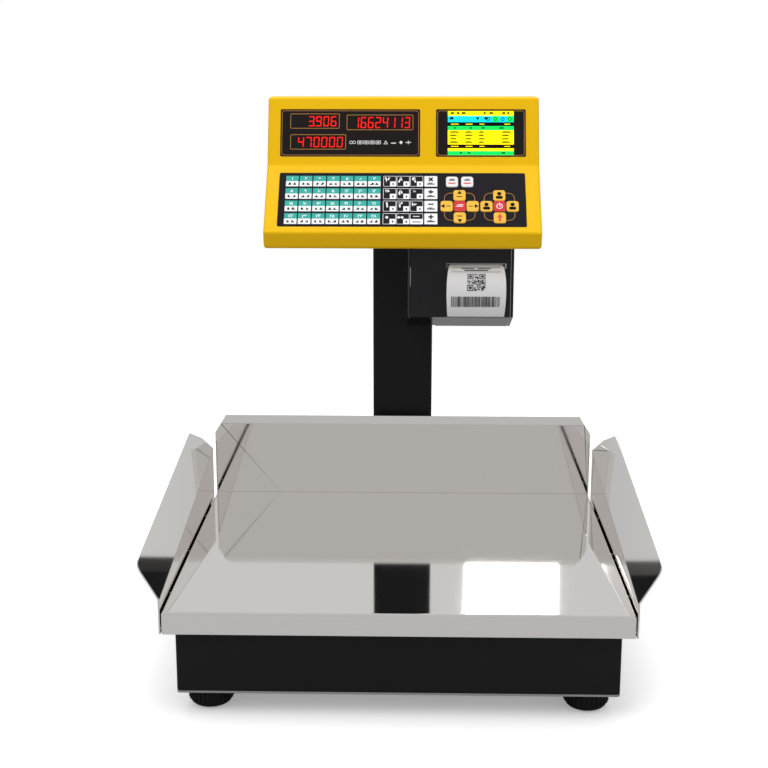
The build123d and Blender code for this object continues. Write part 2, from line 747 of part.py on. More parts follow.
with BuildPart() as post_tube:
    with BuildSketch(Plane.XY.offset(foot_height)):
        with Locations((0, post_centre_y)):
            RectangleRounded(post_width, post_thick, post_corner)
            RectangleRounded(post_width - 2 * post_wall, post_thick - 2 * post_wall, post_corner - post_wall,
                             mode=Mode.SUBTRACT)
    extrude(amount=post_top - foot_height)
    for z in cross_bolt_zs:
        with Locations(Plane.YZ * Location((cross_bolt_y, z))):
            Cylinder(cross_bolt_r + hole_clearance, 2 * post_width, mode=Mode.SUBTRACT)
    with Locations(Plane(origin=(0, post_front_y, inlet_z), z_dir=(0, -1, 0))):
        Cylinder(cable_hole_r, 3 * post_wall, mode=Mode.SUBTRACT)
post_tube.part.label = "post_tube"
export_step(post_tube.part, "parts/post_tube.step")

with BuildPart() as post_bracket:
    with BuildSketch(Plane.XY.offset(bracket_bottom)):
        with Locations((0, base_rear_y + bracket_thick / 2)):
            Rectangle(bracket_width, bracket_thick)
        for side in (-1, 1):
            with Locations((side * (post_width + bracket_thick) / 2, post_front_y + bracket_ear / 2)):
                Rectangle(bracket_thick, bracket_ear)
    extrude(amount=bracket_height)
    for z in cross_bolt_zs:
        with Locations(Plane.YZ * Location((cross_bolt_y, z))):
            Cylinder(cross_bolt_r + hole_clearance, 2 * post_width, mode=Mode.SUBTRACT)
    with BuildSketch(plane_facing_y(post_front_y)):
        with Locations((0, inlet_z)):
            Circle(cable_hole_r)
        with Locations(*[(x * bracket_bolt_x, z) for x in (-1, 1) for z in bracket_bolt_z]):
            Circle(bracket_bolt_r + hole_clearance)
    extrude(amount=bracket_thick, mode=Mode.SUBTRACT)
post_bracket.part.label = "post_bracket"
export_step(post_bracket.part, "parts/post_bracket.step")

cross_bolt_half = post_width / 2 + bracket_thick
with BuildPart() as post_bolts:
    for x in (-bracket_bolt_x, bracket_bolt_x):
        for z in bracket_bolt_z:
            with Locations(Plane(origin=(x, post_front_y, z), z_dir=(0, 1, 0))):
                Cylinder(bracket_bolt_head_r, bracket_bolt_head,
                         align=(Align.CENTER, Align.CENTER, Align.MIN))
                Cylinder(bracket_bolt_r, bracket_thick + base_sheet + bolt_end,
                         align=(Align.CENTER, Align.CENTER, Align.MAX))
    for z in cross_bolt_zs:
        with Locations(Plane.YZ * Location((cross_bolt_y, z))):
            Cylinder(cross_bolt_r, 2 * cross_bolt_half)
        for side in (-1, 1):
            with Locations(Plane(origin=(side * cross_bolt_half, cross_bolt_y, z), z_dir=(side, 0, 0))):
                Cylinder(cross_bolt_head_r, cross_bolt_head, align=(Align.CENTER, Align.CENTER, Align.MIN))
post_bolts.part.label = "post_bolts"
export_step(post_bolts.part, "parts/post_bolts.step")

with BuildPart() as head_bracket:
    with BuildSketch(Plane.XY.offset(post_top - collar_height)):
        with Locations((0, post_centre_y)):
            RectangleRounded(post_width + 2 * collar_wall, post_thick + 2 * collar_wall,
                             post_corner + collar_wall)
            Rectangle(post_width, post_thick, mode=Mode.SUBTRACT)
    extrude(amount=collar_height)
    with BuildSketch(Plane.XY.offset(post_top)):
        with Locations((0, post_centre_y)):
            Rectangle(collar_plate_width, post_thick + 4 * collar_wall)
            Circle(cable_hole_r, mode=Mode.SUBTRACT)
    extrude(amount=collar_wall)
head_bracket.part.label = "head_bracket"
export_step(head_bracket.part, "parts/head_bracket.step")

# ---------------------------------------------------------------- console shells
console_rear_y = front_y + console_rear_depth
display_top = Vector(0, front_y + console_top_depth, console_top)
display_down = Vector(0, -sin(radians(display_lean)), -cos(radians(display_lean)))
keys_top = display_top + display_down * display_length
keys_down = Vector(0, -sin(radians(keys_lean)), -cos(radians(keys_lean)))
keys_bottom = keys_top + keys_down * keys_length
lip_bottom = keys_bottom + Vector(0, lip_back, -lip_drop)
console_bottom = lip_bottom.Z
display_plane = Plane(origin=display_top, x_dir=(1, 0, 0),
                      z_dir=(0, -cos(radians(display_lean)), sin(radians(display_lean))))
keys_plane = Plane(origin=keys_top, x_dir=(1, 0, 0),
                   z_dir=(0, -cos(radians(keys_lean)), sin(radians(keys_lean))))

console_points = [
    (display_top.Y, display_top.Z),
    (keys_top.Y, keys_top.Z),
    (keys_bottom.Y, keys_bottom.Z),
    (lip_bottom.Y, lip_bottom.Z),
    (console_rear_y, console_bottom),
    (console_rear_y, console_rear_break),
    (front_y + console_crown_depth, console_top),
]

window_specs = {
    "led": (led_window_left, led_window_right),
    "lcd": (lcd_window_left, lcd_window_right),
}
window_height = window_bottom - window_top
window_middle = -(window_top + window_bottom) / 2
overlay_size = (overlay_right - overlay_left, overlay_bottom - overlay_top)
overlay_middle = ((overlay_left + overlay_right) / 2, -(overlay_top + overlay_bottom) / 2)

with BuildPart() as console_body:
    with BuildSketch(Plane.YZ) as outer:
        with BuildLine():
            Polyline(*console_points, close=True)
        make_face()
        fillet(outer.vertices().sort_by_distance((keys_top.Y, keys_top.Z, 0))[0], console_fold_radius)
        for corner in (console_points[0], *console_points[2:5], console_points[6]):
            fillet(outer.vertices().sort_by_distance((*corner, 0))[0], console_edge)
    extrude(amount=console_width / 2, both=True)
    fillet(console_body.edges().filter_by(
        lambda e: abs(abs(e.center().X) - console_width / 2) < 0.01), console_end_edge)
    with BuildSketch(Plane.YZ):
        with BuildLine():
            Polyline(*console_points, close=True)
        make_face()
        offset(amount=-console_wall, kind=Kind.INTERSECTION, mode=Mode.REPLACE)
    extrude(amount=console_width / 2 - console_wall, both=True, mode=Mode.SUBTRACT)
    with BuildSketch(Plane.XY.offset(console_bottom - 1)):
        with Locations((0, post_centre_y)):
            RectangleRounded(post_width + 2 * post_entry_clearance, post_thick + 2 * post_entry_clearance,
                             post_corner)
    extrude(amount=console_wall + 2, mode=Mode.SUBTRACT)
    for left, right in window_specs.values():
        with BuildSketch(display_plane):
            with Locations(((left + right) / 2, window_middle)):
                RectangleRounded(right - left, window_height, window_corner)
        extrude(amount=-window_thick, mode=Mode.SUBTRACT)
        with BuildSketch(display_plane):
            with Locations(((left + right) / 2, window_middle)):
                Rectangle(right - left - 2 * window_lip, window_height - 2 * window_lip)
        extrude(amount=-3 * window_thick, mode=Mode.SUBTRACT)
    with BuildSketch(keys_plane):
        with Locations(overlay_middle):
            RectangleRounded(*overlay_size, window_corner)
    extrude(amount=-overlay_thick, mode=Mode.SUBTRACT)
    with BuildSketch(keys_plane):
        with Locations(overlay_middle):
            Rectangle(overlay_size[0] - 2 * window_lip, overlay_size[1] - 2 * window_lip)
    extrude(amount=-3 * window_thick, mode=Mode.SUBTRACT)
    with BuildSketch(plane_facing_y(console_rear_y)):
        with Locations((0, customer_z)):
            Rectangle(customer_width, customer_height)
        with Locations(*[(x * head_screw_x, z) for x in (-1, 1) for z in head_screw_z]):
            Circle(head_screw_r + hole_clearance)
    extrude(amount=2 * console_wall, mode=Mode.SUBTRACT)

with BuildPart() as head_front_shell:
    add(console_body.part)
    with BuildSketch(Plane.YZ):
        with BuildLine():
            Polyline(
                (front_y + parting_top_depth, console_top + parting_margin),
                (front_y + parting_bottom_depth, console_bottom - parting_margin),
                (front_y, console_bottom - parting_margin),
                (front_y, console_top + parting_margin),
                close=True,
            )
        make_face()
    extrude(amount=console_width, both=True, mode=Mode.INTERSECT)
head_front_shell.part.label = "head_front_shell"
export_step(head_front_shell.part, "parts/head_front_shell.step")

with BuildPart() as head_rear_shell:
    add(console_body.part)
    add(head_front_shell.part, mode=Mode.SUBTRACT)
head_rear_shell.part.label = "head_rear_shell"
export_step(head_rear_shell.part, "parts/head_rear_shell.step")

with BuildPart() as head_screws:
    for x in (-head_screw_x, head_screw_x):
        for z in head_screw_z:
            with Locations(Plane(origin=(x, console_rear_y, z), z_dir=(0, 1, 0))):
                Cylinder(head_screw_head_r, head_screw_head, align=(Align.CENTER, Align.CENTER, Align.MIN))
                Cylinder(head_screw_r, head_screw_length, align=(Align.CENTER, Align.CENTER, Align.MAX))
head_screws.part.label = "head_screws"
export_step(head_screws.part, "parts/head_screws.step")

# ---------------------------------------------------------------- console displays and boards
with BuildPart() as led_window:
    with BuildSketch(display_plane):
        with Locations(((led_window_left + led_window_right) / 2, window_middle)):
            RectangleRounded(led_window_right - led_window_left, window_height, window_corner)
    extrude(amount=-window_thick)
led_window.part.label = "led_window"
export_step(led_window.part, "parts/led_window.step")

with BuildPart() as lcd_window:
    with BuildSketch(display_plane):
        with Locations(((lcd_window_left + lcd_window_right) / 2, window_middle)):
            RectangleRounded(lcd_window_right - lcd_window_left, window_height, window_corner)
    extrude(amount=-window_thick)
lcd_window.part.label = "lcd_window"
export_step(lcd_window.part, "parts/lcd_window.step")

board_drop = window_thick + led_digit[2]
with BuildPart() as led_board:
    with BuildSketch(display_plane.offset(-board_drop)):
        with Locations(((led_window_left + led_window_right) / 2, window_middle)):
            Rectangle(led_window_right - led_window_left - 2 * board_margin, window_height - 2 * board_margin)
    extrude(amount=-board_thick)
    for middle_x, down, digits in led_rows:
        with BuildSketch(display_plane.offset(-board_drop)):
            with Locations((middle_x, -down)):
                Rectangle(digits * led_digit[0], led_digit[1])
        extrude(amount=led_digit[2])
led_board.part.label = "led_board"
export_step(led_board.part, "parts/led_board.step")

with BuildPart() as lcd_module:
    with BuildSketch(display_plane.offset(-window_thick)):
        with Locations(((lcd_window_left + lcd_window_right) / 2, window_middle)):
            Rectangle(lcd_window_right - lcd_window_left - 2 * (window_lip + module_gap),
                      window_height - 2 * (window_lip + module_gap))
    extrude(amount=-lcd_module_thick)
lcd_module.part.label = "lcd_module"
export_step(lcd_module.part, "parts/lcd_module.step")

key_places = {
    "key_shift": (top_key_x[0], -top_key_down),
    "key_clear": (top_key_x[1], -top_key_down),
}
for group, middle_x in zip(("menu", "clerk"), cluster_x):
    key_places[f"key_{group}_centre"] = (middle_x, -cluster_down)
    key_places[f"key_{group}_left"] = (middle_x - arm_x, -cluster_down)
    key_places[f"key_{group}_right"] = (middle_x + arm_x, -cluster_down)
    key_places[f"key_{group}_up"] = (middle_x, -cluster_down + arm_up)
    key_places[f"key_{group}_down"] = (middle_x, -cluster_down - arm_down)

with BuildPart() as keypad_overlay:
    with BuildSketch(keys_plane):
        with Locations(overlay_middle):
            RectangleRounded(*overlay_size, window_corner)
        with Locations(*key_places.values()):
            RectangleRounded(key_width + 2 * key_gap, key_height + 2 * key_gap, key_corner + key_gap,
                             mode=Mode.SUBTRACT)
    extrude(amount=-overlay_thick)
keypad_overlay.part.label = "keypad_overlay"
export_step(keypad_overlay.part, "parts/keypad_overlay.step")

with BuildPart() as key_board:
    with BuildSketch(keys_plane.offset(-overlay_thick)):
        with Locations(overlay_middle):
            Rectangle(overlay_size[0] - 2 * window_lip - 0.6, overlay_size[1] - 2 * window_lip - 0.6)
    extrude(amount=-key_board_thick)
key_board.part.label = "key_board"
export_step(key_board.part, "parts/key_board.step")

key_thick = overlay_thick + key_proud - key_lift
key_press_axis = Axis(keys_plane.origin, keys_plane.z_dir)
for key_name, place in key_places.items():
    with BuildPart() as key_cap:
        with BuildSketch(keys_plane.offset(key_proud)):
            with Locations(place):
                RectangleRounded(key_width, key_height, key_corner)
        extrude(amount=-key_thick)
        fillet(key_cap.faces().sort_by(key_press_axis)[-1].edges(), key_edge)
    key_cap.part.label = key_name
    export_step(key_cap.part, f"parts/{key_name}.step")

with BuildPart() as main_board:
    with BuildSketch(plane_facing_y(console_rear_y - main_board_inset)):
        with Locations((main_board_x, main_board_z)):
            Rectangle(*main_board_size)
    extrude(amount=board_thick)
main_board.part.label = "main_board"
export_step(main_board.part, "parts/main_board.step")

with BuildPart() as customer_display:
    with BuildSketch(plane_facing_y(console_rear_y)):
        with Locations((0, customer_z)):
            Rectangle(customer_width - 2 * snap_gap, customer_height - 2 * snap_gap)
    extrude(amount=customer_thick)
customer_display.part.label = "customer_display"
export_step(customer_display.part, "parts/customer_display.step")

# ---------------------------------------------------------------- label printer
printer_top = console_bottom
printer_front_y = front_y + printer_front_depth
printer_rear_y = front_y + printer_rear_depth
chin_y = front_y + printer_chin_depth
door_left = printer_right - door_thick
housing_right = door_left - door_gap
notch_y = post_front_y - post_clearance
notch_x = post_width / 2 + post_clearance
roll_y = front_y + roll_depth
platen_y = front_y + platen_depth
hinge_x = printer_right - hinge_inside
hinge_y = printer_rear_y + hinge_behind
chin_slope = atan2(printer_chin - printer_bottom, chin_y - printer_front_y)
chin_lift = printer_wall / cos(chin_slope)
web_z = platen_z + platen_r + nip_gap


def housing_outline(inset, lift, rear_inset):
    """The side view of the printer's box, drawn in by inset, with its floor raised by lift."""
    return [
        (printer_front_y + inset, printer_chin + lift - inset * (printer_chin - printer_bottom)
         / (chin_y - printer_front_y)),
        (chin_y, printer_bottom + lift),
        (printer_rear_y - rear_inset, printer_bottom + lift),
        (printer_rear_y - rear_inset, printer_top - inset),
        (printer_front_y + inset, printer_top - inset),
    ]


with BuildPart() as printer_housing:
    with BuildSketch(plane_facing_x(printer_left)):
        with BuildLine():
            Polyline(*housing_outline(0, 0, 0), close=True)
        make_face()
    extrude(amount=housing_right - printer_left)
    fillet(printer_housing.edges().filter_by(Axis.Z).sort_by_distance(
        (printer_left, printer_front_y, printer_top))[0], printer_corner)
    with BuildSketch(plane_facing_x(notch_x + printer_wall)):
        with BuildLine():
            Polyline(*housing_outline(printer_wall, chin_lift, printer_wall), close=True)
        make_face()
    extrude(amount=printer_right - notch_x, mode=Mode.SUBTRACT)
    with BuildSketch(plane_facing_x(printer_left + printer_wall)):
        with BuildLine():
            Polyline(*housing_outline(printer_wall, chin_lift, printer_wall), close=True)
        make_face()
        with Locations((notch_y - printer_wall + printer_rear_y, (printer_bottom + printer_top) / 2)):
            Rectangle(2 * printer_rear_y, 2 * printer_top, mode=Mode.SUBTRACT)
    extrude(amount=notch_x, mode=Mode.SUBTRACT)
    with Locations((notch_x, notch_y, printer_bottom - 1)):
        Box(2 * notch_x, 2 * post_thick + 100, printer_top, align=(Align.MAX, Align.MIN, Align.MIN),
            mode=Mode.SUBTRACT)
    with BuildSketch(plane_facing_y(printer_front_y)):
        with Locations((label_x, web_z)):
            Rectangle(label_width + 4, slot_height)
    extrude(amount=-2 * printer_wall, mode=Mode.SUBTRACT)
    cheek_centre_y = printer_front_y + printer_wall + cheek_reach / 2
    for cheek_x in (cheek_left, cheek_right):
        with BuildSketch(plane_facing_x(cheek_x)):
            with Locations((cheek_centre_y, (cheek_bottom + cheek_top) / 2)):
                Rectangle(cheek_reach, cheek_top - cheek_bottom)
            with Locations((platen_y, platen_z)):
                Circle(platen_shaft_r + hinge_clearance, mode=Mode.SUBTRACT)
        extrude(amount=cheek_thick)
    spindle_right = label_x + label_width / 2 + 2
    with BuildSketch(plane_facing_x(notch_x + printer_wall)):
        with Locations((roll_y, roll_z)):
            Circle(roll_core_r - spindle_clearance)
            Circle(spindle_bore_r, mode=Mode.SUBTRACT)
    extrude(amount=spindle_right - notch_x - printer_wall)
    for knuckle_z in hinge_knuckle_z:
        with BuildSketch(Plane.XY.offset(knuckle_z)):
            with Locations((hinge_x, hinge_y)):
                Circle(hinge_r)
            with Locations((housing_right, printer_rear_y - printer_wall / 2)):
                Rectangle(hinge_leaf, hinge_behind + printer_wall / 2, align=(Align.MAX, Align.MIN))
            with Locations((hinge_x, hinge_y)):
                Circle(hinge_pin_r + hinge_pin_clearance, mode=Mode.SUBTRACT)
        extrude(amount=-hinge_knuckle)
printer_housing.part.label = "printer_housing"
export_step(printer_housing.part, "parts/printer_housing.step")

door_top = printer_top - door_top_gap
door_knuckle_bottom = hinge_knuckle_z[0] + hinge_clearance
door_knuckle_top = hinge_knuckle_z[1] - hinge_knuckle - hinge_clearance
with BuildPart() as printer_door:
    with BuildSketch(plane_facing_x(door_left)):
        with BuildLine():
            Polyline(*housing_outline(0, 0, 0), close=True)
        make_face()
        with Locations((printer_front_y, door_top)):
            Rectangle(2 * printer_rear_y, 2 * door_top_gap, align=(Align.CENTER, Align.MIN),
                      mode=Mode.SUBTRACT)
    extrude(amount=door_thick)
    with BuildSketch(Plane.XY.offset(door_knuckle_bottom)):
        with Locations((hinge_x, hinge_y)):
            Circle(hinge_r)
        with Locations((door_left, printer_rear_y - printer_wall)):
            Rectangle(door_thick, hinge_behind + printer_wall, align=(Align.MIN, Align.MIN))
    extrude(amount=door_knuckle_top - door_knuckle_bottom)
    with BuildSketch(Plane.XY.offset(hinge_knuckle_z[0] - hinge_knuckle)):
        with Locations((hinge_x, hinge_y)):
            Circle(hinge_pin_r)
    extrude(amount=hinge_knuckle_z[1] - hinge_knuckle_z[0] + hinge_knuckle)
    with BuildSketch(plane_facing_x(printer_right)):
        with Locations((printer_front_y + door_grip_inset, (printer_chin + door_top) / 2)):
            SlotOverall(door_grip_length, door_grip_width, rotation=90)
    extrude(amount=-door_thick / 2, mode=Mode.SUBTRACT)
printer_door.part.label = "printer_door"
export_step(printer_door.part, "parts/printer_door.step")

with BuildPart() as print_head:
    with Locations((label_x, platen_y, web_z + label_thick + nip_gap)):
        Box(*print_head_size, align=(Align.CENTER, Align.CENTER, Align.MIN))
    chamfer(print_head.edges().group_by(Axis.Z)[0].filter_by(Axis.X), 1.0)
print_head.part.label = "print_head"
export_step(print_head.part, "parts/print_head.step")

label_left = label_x - label_width / 2
with BuildPart() as platen_roller:
    with BuildSketch(plane_facing_x(label_left)):
        with Locations((platen_y, platen_z)):
            Circle(platen_r)
    extrude(amount=label_width)
    with BuildSketch(plane_facing_x(gear_left - 1)):
        with Locations((platen_y, platen_z)):
            Circle(platen_shaft_r)
    extrude(amount=cheek_right + cheek_thick + 1 - gear_left)
    with BuildSketch(plane_facing_x(gear_left)):
        with Locations((platen_y, platen_z)):
            Polygon(*spur_points(platen_teeth, gear_phase), align=None)
    extrude(amount=gear_width)
platen_roller.part.label = "platen_roller"
export_step(platen_roller.part, "parts/platen_roller.step")

gear_centres = gear_module * (platen_teeth + pinion_teeth) / 2
motor_y = platen_y + gear_centres * cos(radians(gear_phase))
motor_z = platen_z + gear_centres * sin(radians(gear_phase))
with BuildPart() as stepper_motor:
    with BuildSketch(plane_facing_x(printer_left + printer_wall)):
        with Locations((motor_y, motor_z)):
            Circle(motor_r)
    extrude(amount=motor_right - printer_left - printer_wall)
    fillet(stepper_motor.edges().group_by(Axis.X)[-1], 1.0)
stepper_motor.part.label = "stepper_motor"
export_step(stepper_motor.part, "parts/stepper_motor.step")

with BuildPart() as motor_pinion:
    with BuildSketch(plane_facing_x(motor_right + hinge_clearance)):
        with Locations((motor_y, motor_z)):
            Circle(motor_shaft_r)
    extrude(amount=gear_left + gear_width - motor_right - hinge_clearance)
    with BuildSketch(plane_facing_x(gear_left)):
        with Locations((motor_y, motor_z)):
            Polygon(*spur_points(pinion_teeth, gear_phase + 180 + 180 / pinion_teeth), align=None)
    extrude(amount=gear_width)
motor_pinion.part.label = "motor_pinion"
export_step(motor_pinion.part, "parts/motor_pinion.step")

with BuildPart() as label_roll:
    with BuildSketch(plane_facing_x(label_left)):
        with Locations((roll_y, roll_z)):
            Circle(roll_r)
            Circle(roll_core_r, mode=Mode.SUBTRACT)
    extrude(amount=label_width)
label_roll.part.label = "label_roll"
export_step(label_roll.part, "parts/label_roll.step")

# The web leaves the roll on the tangent that runs to the nip, passes the slot and curls down outside.
nip = (platen_y + platen_r, web_z + label_thick / 2)
leave_r = roll_r + roll_web_gap
to_nip = (nip[0] - roll_y, nip[1] - roll_z)
leave_angle = atan2(to_nip[1], to_nip[0]) - acos(leave_r / hypot(*to_nip))
leave_point = (roll_y + leave_r * cos(leave_angle), roll_z + leave_r * sin(leave_angle))
slot_exit = (printer_front_y, nip[1])
label_crest = (printer_front_y - label_bulge, nip[1] - label_drop * 0.42)
label_end = (printer_front_y - label_bulge / 2, nip[1] - label_drop)
with BuildPart() as label:
    with BuildSketch(plane_facing_x(label_left)):
        with BuildLine() as web:
            Polyline(leave_point, nip, slot_exit)
            Spline(slot_exit, label_crest, label_end, tangents=[(-1, 0), (0.35, -1)])
        trace(web.line, label_thick)
    extrude(amount=label_width)
label.part.label = "label"
export_step(label.part, "parts/label.step")
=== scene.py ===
"""The looks of a label printing scale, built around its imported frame.

Blender lengths are metres. A sub-assembly's own sizes are millimetres, and a face's drawing is laid out in
millimetres across it and down it. +X is the user's right, -Y is towards the user and +Z is up.
"""

import json
import logging
import random
from dataclasses import dataclass, field
from enum import Enum
from math import cos, pi, radians, sin, tan
from typing import Protocol

import bmesh
import bpy
from mathutils import Euler, Matrix, Vector

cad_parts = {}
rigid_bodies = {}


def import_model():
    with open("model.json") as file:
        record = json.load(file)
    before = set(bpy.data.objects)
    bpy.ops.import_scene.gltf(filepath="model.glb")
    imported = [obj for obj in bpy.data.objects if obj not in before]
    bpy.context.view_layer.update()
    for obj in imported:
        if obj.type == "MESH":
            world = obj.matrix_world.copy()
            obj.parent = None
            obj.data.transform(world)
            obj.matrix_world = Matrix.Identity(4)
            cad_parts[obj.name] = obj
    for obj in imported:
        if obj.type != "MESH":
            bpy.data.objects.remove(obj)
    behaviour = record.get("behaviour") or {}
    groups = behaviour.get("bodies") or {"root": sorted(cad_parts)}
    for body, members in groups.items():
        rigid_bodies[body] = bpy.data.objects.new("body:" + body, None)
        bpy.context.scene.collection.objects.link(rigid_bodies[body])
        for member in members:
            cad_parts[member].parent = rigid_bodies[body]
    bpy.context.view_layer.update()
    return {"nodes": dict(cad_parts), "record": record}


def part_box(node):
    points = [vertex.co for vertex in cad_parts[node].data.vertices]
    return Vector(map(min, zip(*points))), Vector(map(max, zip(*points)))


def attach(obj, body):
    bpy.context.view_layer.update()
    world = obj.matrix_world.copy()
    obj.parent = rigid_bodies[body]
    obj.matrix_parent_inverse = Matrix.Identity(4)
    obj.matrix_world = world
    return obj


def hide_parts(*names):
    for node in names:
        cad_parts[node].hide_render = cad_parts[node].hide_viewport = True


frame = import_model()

MM = 0.001
REFLECTED_BELOW = 0.26    # what stands wholly above this height stays out of the steel
LOG = logging.getLogger("label_scale")
Point = tuple[float, float, float]
BODIES: dict[str, list[str]] = frame["record"]["behaviour"]["bodies"]


def body_of(node: str) -> str:
    """Finds the CAD body that a node belongs to.

    Args:
        node: the CAD node's name.

    Returns:
        The body's name.
    """
    return next(body for body, members in BODIES.items() if node in members)


def linear(colour: tuple[float, float, float]) -> tuple[float, float, float, float]:
    """Turns a display colour into the linear one that shaders take.

    Args:
        colour: red, green and blue from 0 to 255.

    Returns:
        The linear colour, with an alpha of 1.
    """
    shares = [value / 255 for value in colour]
    return (*(s / 12.92 if s <= 0.04045 else ((s + 0.055) / 1.055) ** 2.4 for s in shares), 1.0)


# ---------------------------------------------------------------- shared surface effects


class Lines(Enum):
    """The way that rolled lines run on a metal, as stretches of its pattern along X, Y and Z."""

    NONE = (1.0, 1.0, 1.0)
    ALONG_X = (6.0, 900.0, 900.0)


class Effects:
    """The node groups that several finishes share. Each one is built the first time that it is asked for."""

    def __init__(self) -> None:
        """Starts with no group built."""
        self.built: dict[str, bpy.types.NodeTree] = {}

    def group(self, name: str) -> bpy.types.NodeTree:
        """Returns a shared group, building it on its first use.

        Args:
            name: fine_grain, handling_marks or drawn_lines.

        Returns:
            The node group.
        """
        if name not in self.built:
            self.built[name] = getattr(self, name)()
        return self.built[name]

    def start(self, name: str, inputs: dict[str, str], outputs: dict[str, str]) -> bpy.types.NodeTree:
        """Makes an empty group with its sockets.

        Args:
            name: the group's name.
            inputs: each input's name and kind, Float, Color or Vector.
            outputs: each output's name and kind.

        Returns:
            The group, with its input and output nodes in place.
        """
        tree = bpy.data.node_groups.new(name, "ShaderNodeTree")
        for way, sockets in (("INPUT", inputs), ("OUTPUT", outputs)):
            for label, kind in sockets.items():
                tree.interface.new_socket(label, in_out=way, socket_type=f"NodeSocket{kind}")
        tree.nodes.new("NodeGroupInput").name = "given"
        tree.nodes.new("NodeGroupOutput").name = "result"
        return tree

    def noise(self, tree: bpy.types.NodeTree, detail: float) -> bpy.types.Node:
        """Adds a noise texture on Object coordinates.

        Args:
            tree: the group it goes in.
            detail: how many finer layers the noise has.

        Returns:
            The noise node.
        """
        place = tree.nodes.new("ShaderNodeTexCoord")
        texture = tree.nodes.new("ShaderNodeTexNoise")
        texture.inputs["Detail"].default_value = detail
        tree.links.new(place.outputs["Object"], texture.inputs["Vector"])
        return texture

    def swing(self, tree: bpy.types.NodeTree, source: bpy.types.NodeSocket,
              amount: bpy.types.NodeSocket, middle: bpy.types.NodeSocket | None) -> bpy.types.NodeSocket:
        """Centres a mask on zero, scales it and adds it to a middle value.

        Args:
            tree: the group it goes in.
            source: a mask from 0 to 1.
            amount: how far the value swings.
            middle: the value it swings about, or None for 1.

        Returns:
            The socket that gives the swinging value.
        """
        centred = tree.nodes.new("ShaderNodeMath")
        centred.operation = "SUBTRACT"
        centred.inputs[1].default_value = 0.5
        scaled = tree.nodes.new("ShaderNodeMath")
        scaled.operation = "MULTIPLY_ADD"
        scaled.inputs[2].default_value = 1.0
        tree.links.new(source, centred.inputs[0])
        tree.links.new(centred.outputs[0], scaled.inputs[0])
        tree.links.new(amount, scaled.inputs[1])
        if middle is not None:
            tree.links.new(middle, scaled.inputs[2])
        return scaled.outputs[0]

    def fine_grain(self) -> bpy.types.NodeTree:
        """Builds the fine grain of paint, plastic, rubber or paper: a slight tint and a relief."""
        tree = self.start("fine_grain", {"Colour": "Color", "Scale": "Float", "Tint": "Float"},
                          {"Colour": "Color", "Height": "Float"})
        given, result = tree.nodes["given"], tree.nodes["result"]
        grain = self.noise(tree, 3.0)
        tree.links.new(given.outputs["Scale"], grain.inputs["Scale"])
        shade = self.swing(tree, grain.outputs[0], given.outputs["Tint"], None)
        tinted = tree.nodes.new("ShaderNodeVectorMath")
        tinted.operation = "SCALE"
        tree.links.new(given.outputs["Colour"], tinted.inputs[0])
        tree.links.new(shade, tinted.inputs["Scale"])
        tree.links.new(tinted.outputs[0], result.inputs["Colour"])
        tree.links.new(grain.outputs[0], result.inputs["Height"])
        return tree

    def handling_marks(self) -> bpy.types.NodeTree:
        """Builds the broad, faint marks that hands and wiping leave, as a change of roughness."""
        tree = self.start("handling_marks", {"Roughness": "Float", "Spread": "Float", "Scale": "Float"},
                          {"Roughness": "Float"})
        given, result = tree.nodes["given"], tree.nodes["result"]
        marks = self.noise(tree, 5.0)
        marks.inputs["Distortion"].default_value = 0.8
        tree.links.new(given.outputs["Scale"], marks.inputs["Scale"])
        rough = self.swing(tree, marks.outputs[0], given.outputs["Spread"], given.outputs["Roughness"])
        tree.links.new(rough, result.inputs["Roughness"])
        return tree

    def drawn_lines(self) -> bpy.types.NodeTree:
        """Builds the fine lines of rolled, drawn or brushed metal, as a relief."""
        tree = self.start("drawn_lines", {"Stretch": "Vector", "Depth": "Float"}, {"Height": "Float"})
        given, result = tree.nodes["given"], tree.nodes["result"]
        place = tree.nodes.new("ShaderNodeTexCoord")
        stretch = tree.nodes.new("ShaderNodeVectorMath")
        stretch.operation = "MULTIPLY"
        lines = tree.nodes.new("ShaderNodeTexNoise")
        lines.inputs["Scale"].default_value = 1.0
        lines.inputs["Detail"].default_value = 2.0
        depth = tree.nodes.new("ShaderNodeMath")
        depth.operation = "MULTIPLY"
        tree.links.new(place.outputs["Object"], stretch.inputs[0])
        tree.links.new(given.outputs["Stretch"], stretch.inputs[1])
        tree.links.new(stretch.outputs[0], lines.inputs["Vector"])
        tree.links.new(lines.outputs[0], depth.inputs[0])
        tree.links.new(given.outputs["Depth"], depth.inputs[1])
        tree.links.new(depth.outputs[0], result.inputs["Height"])
        return tree


EFFECTS = Effects()


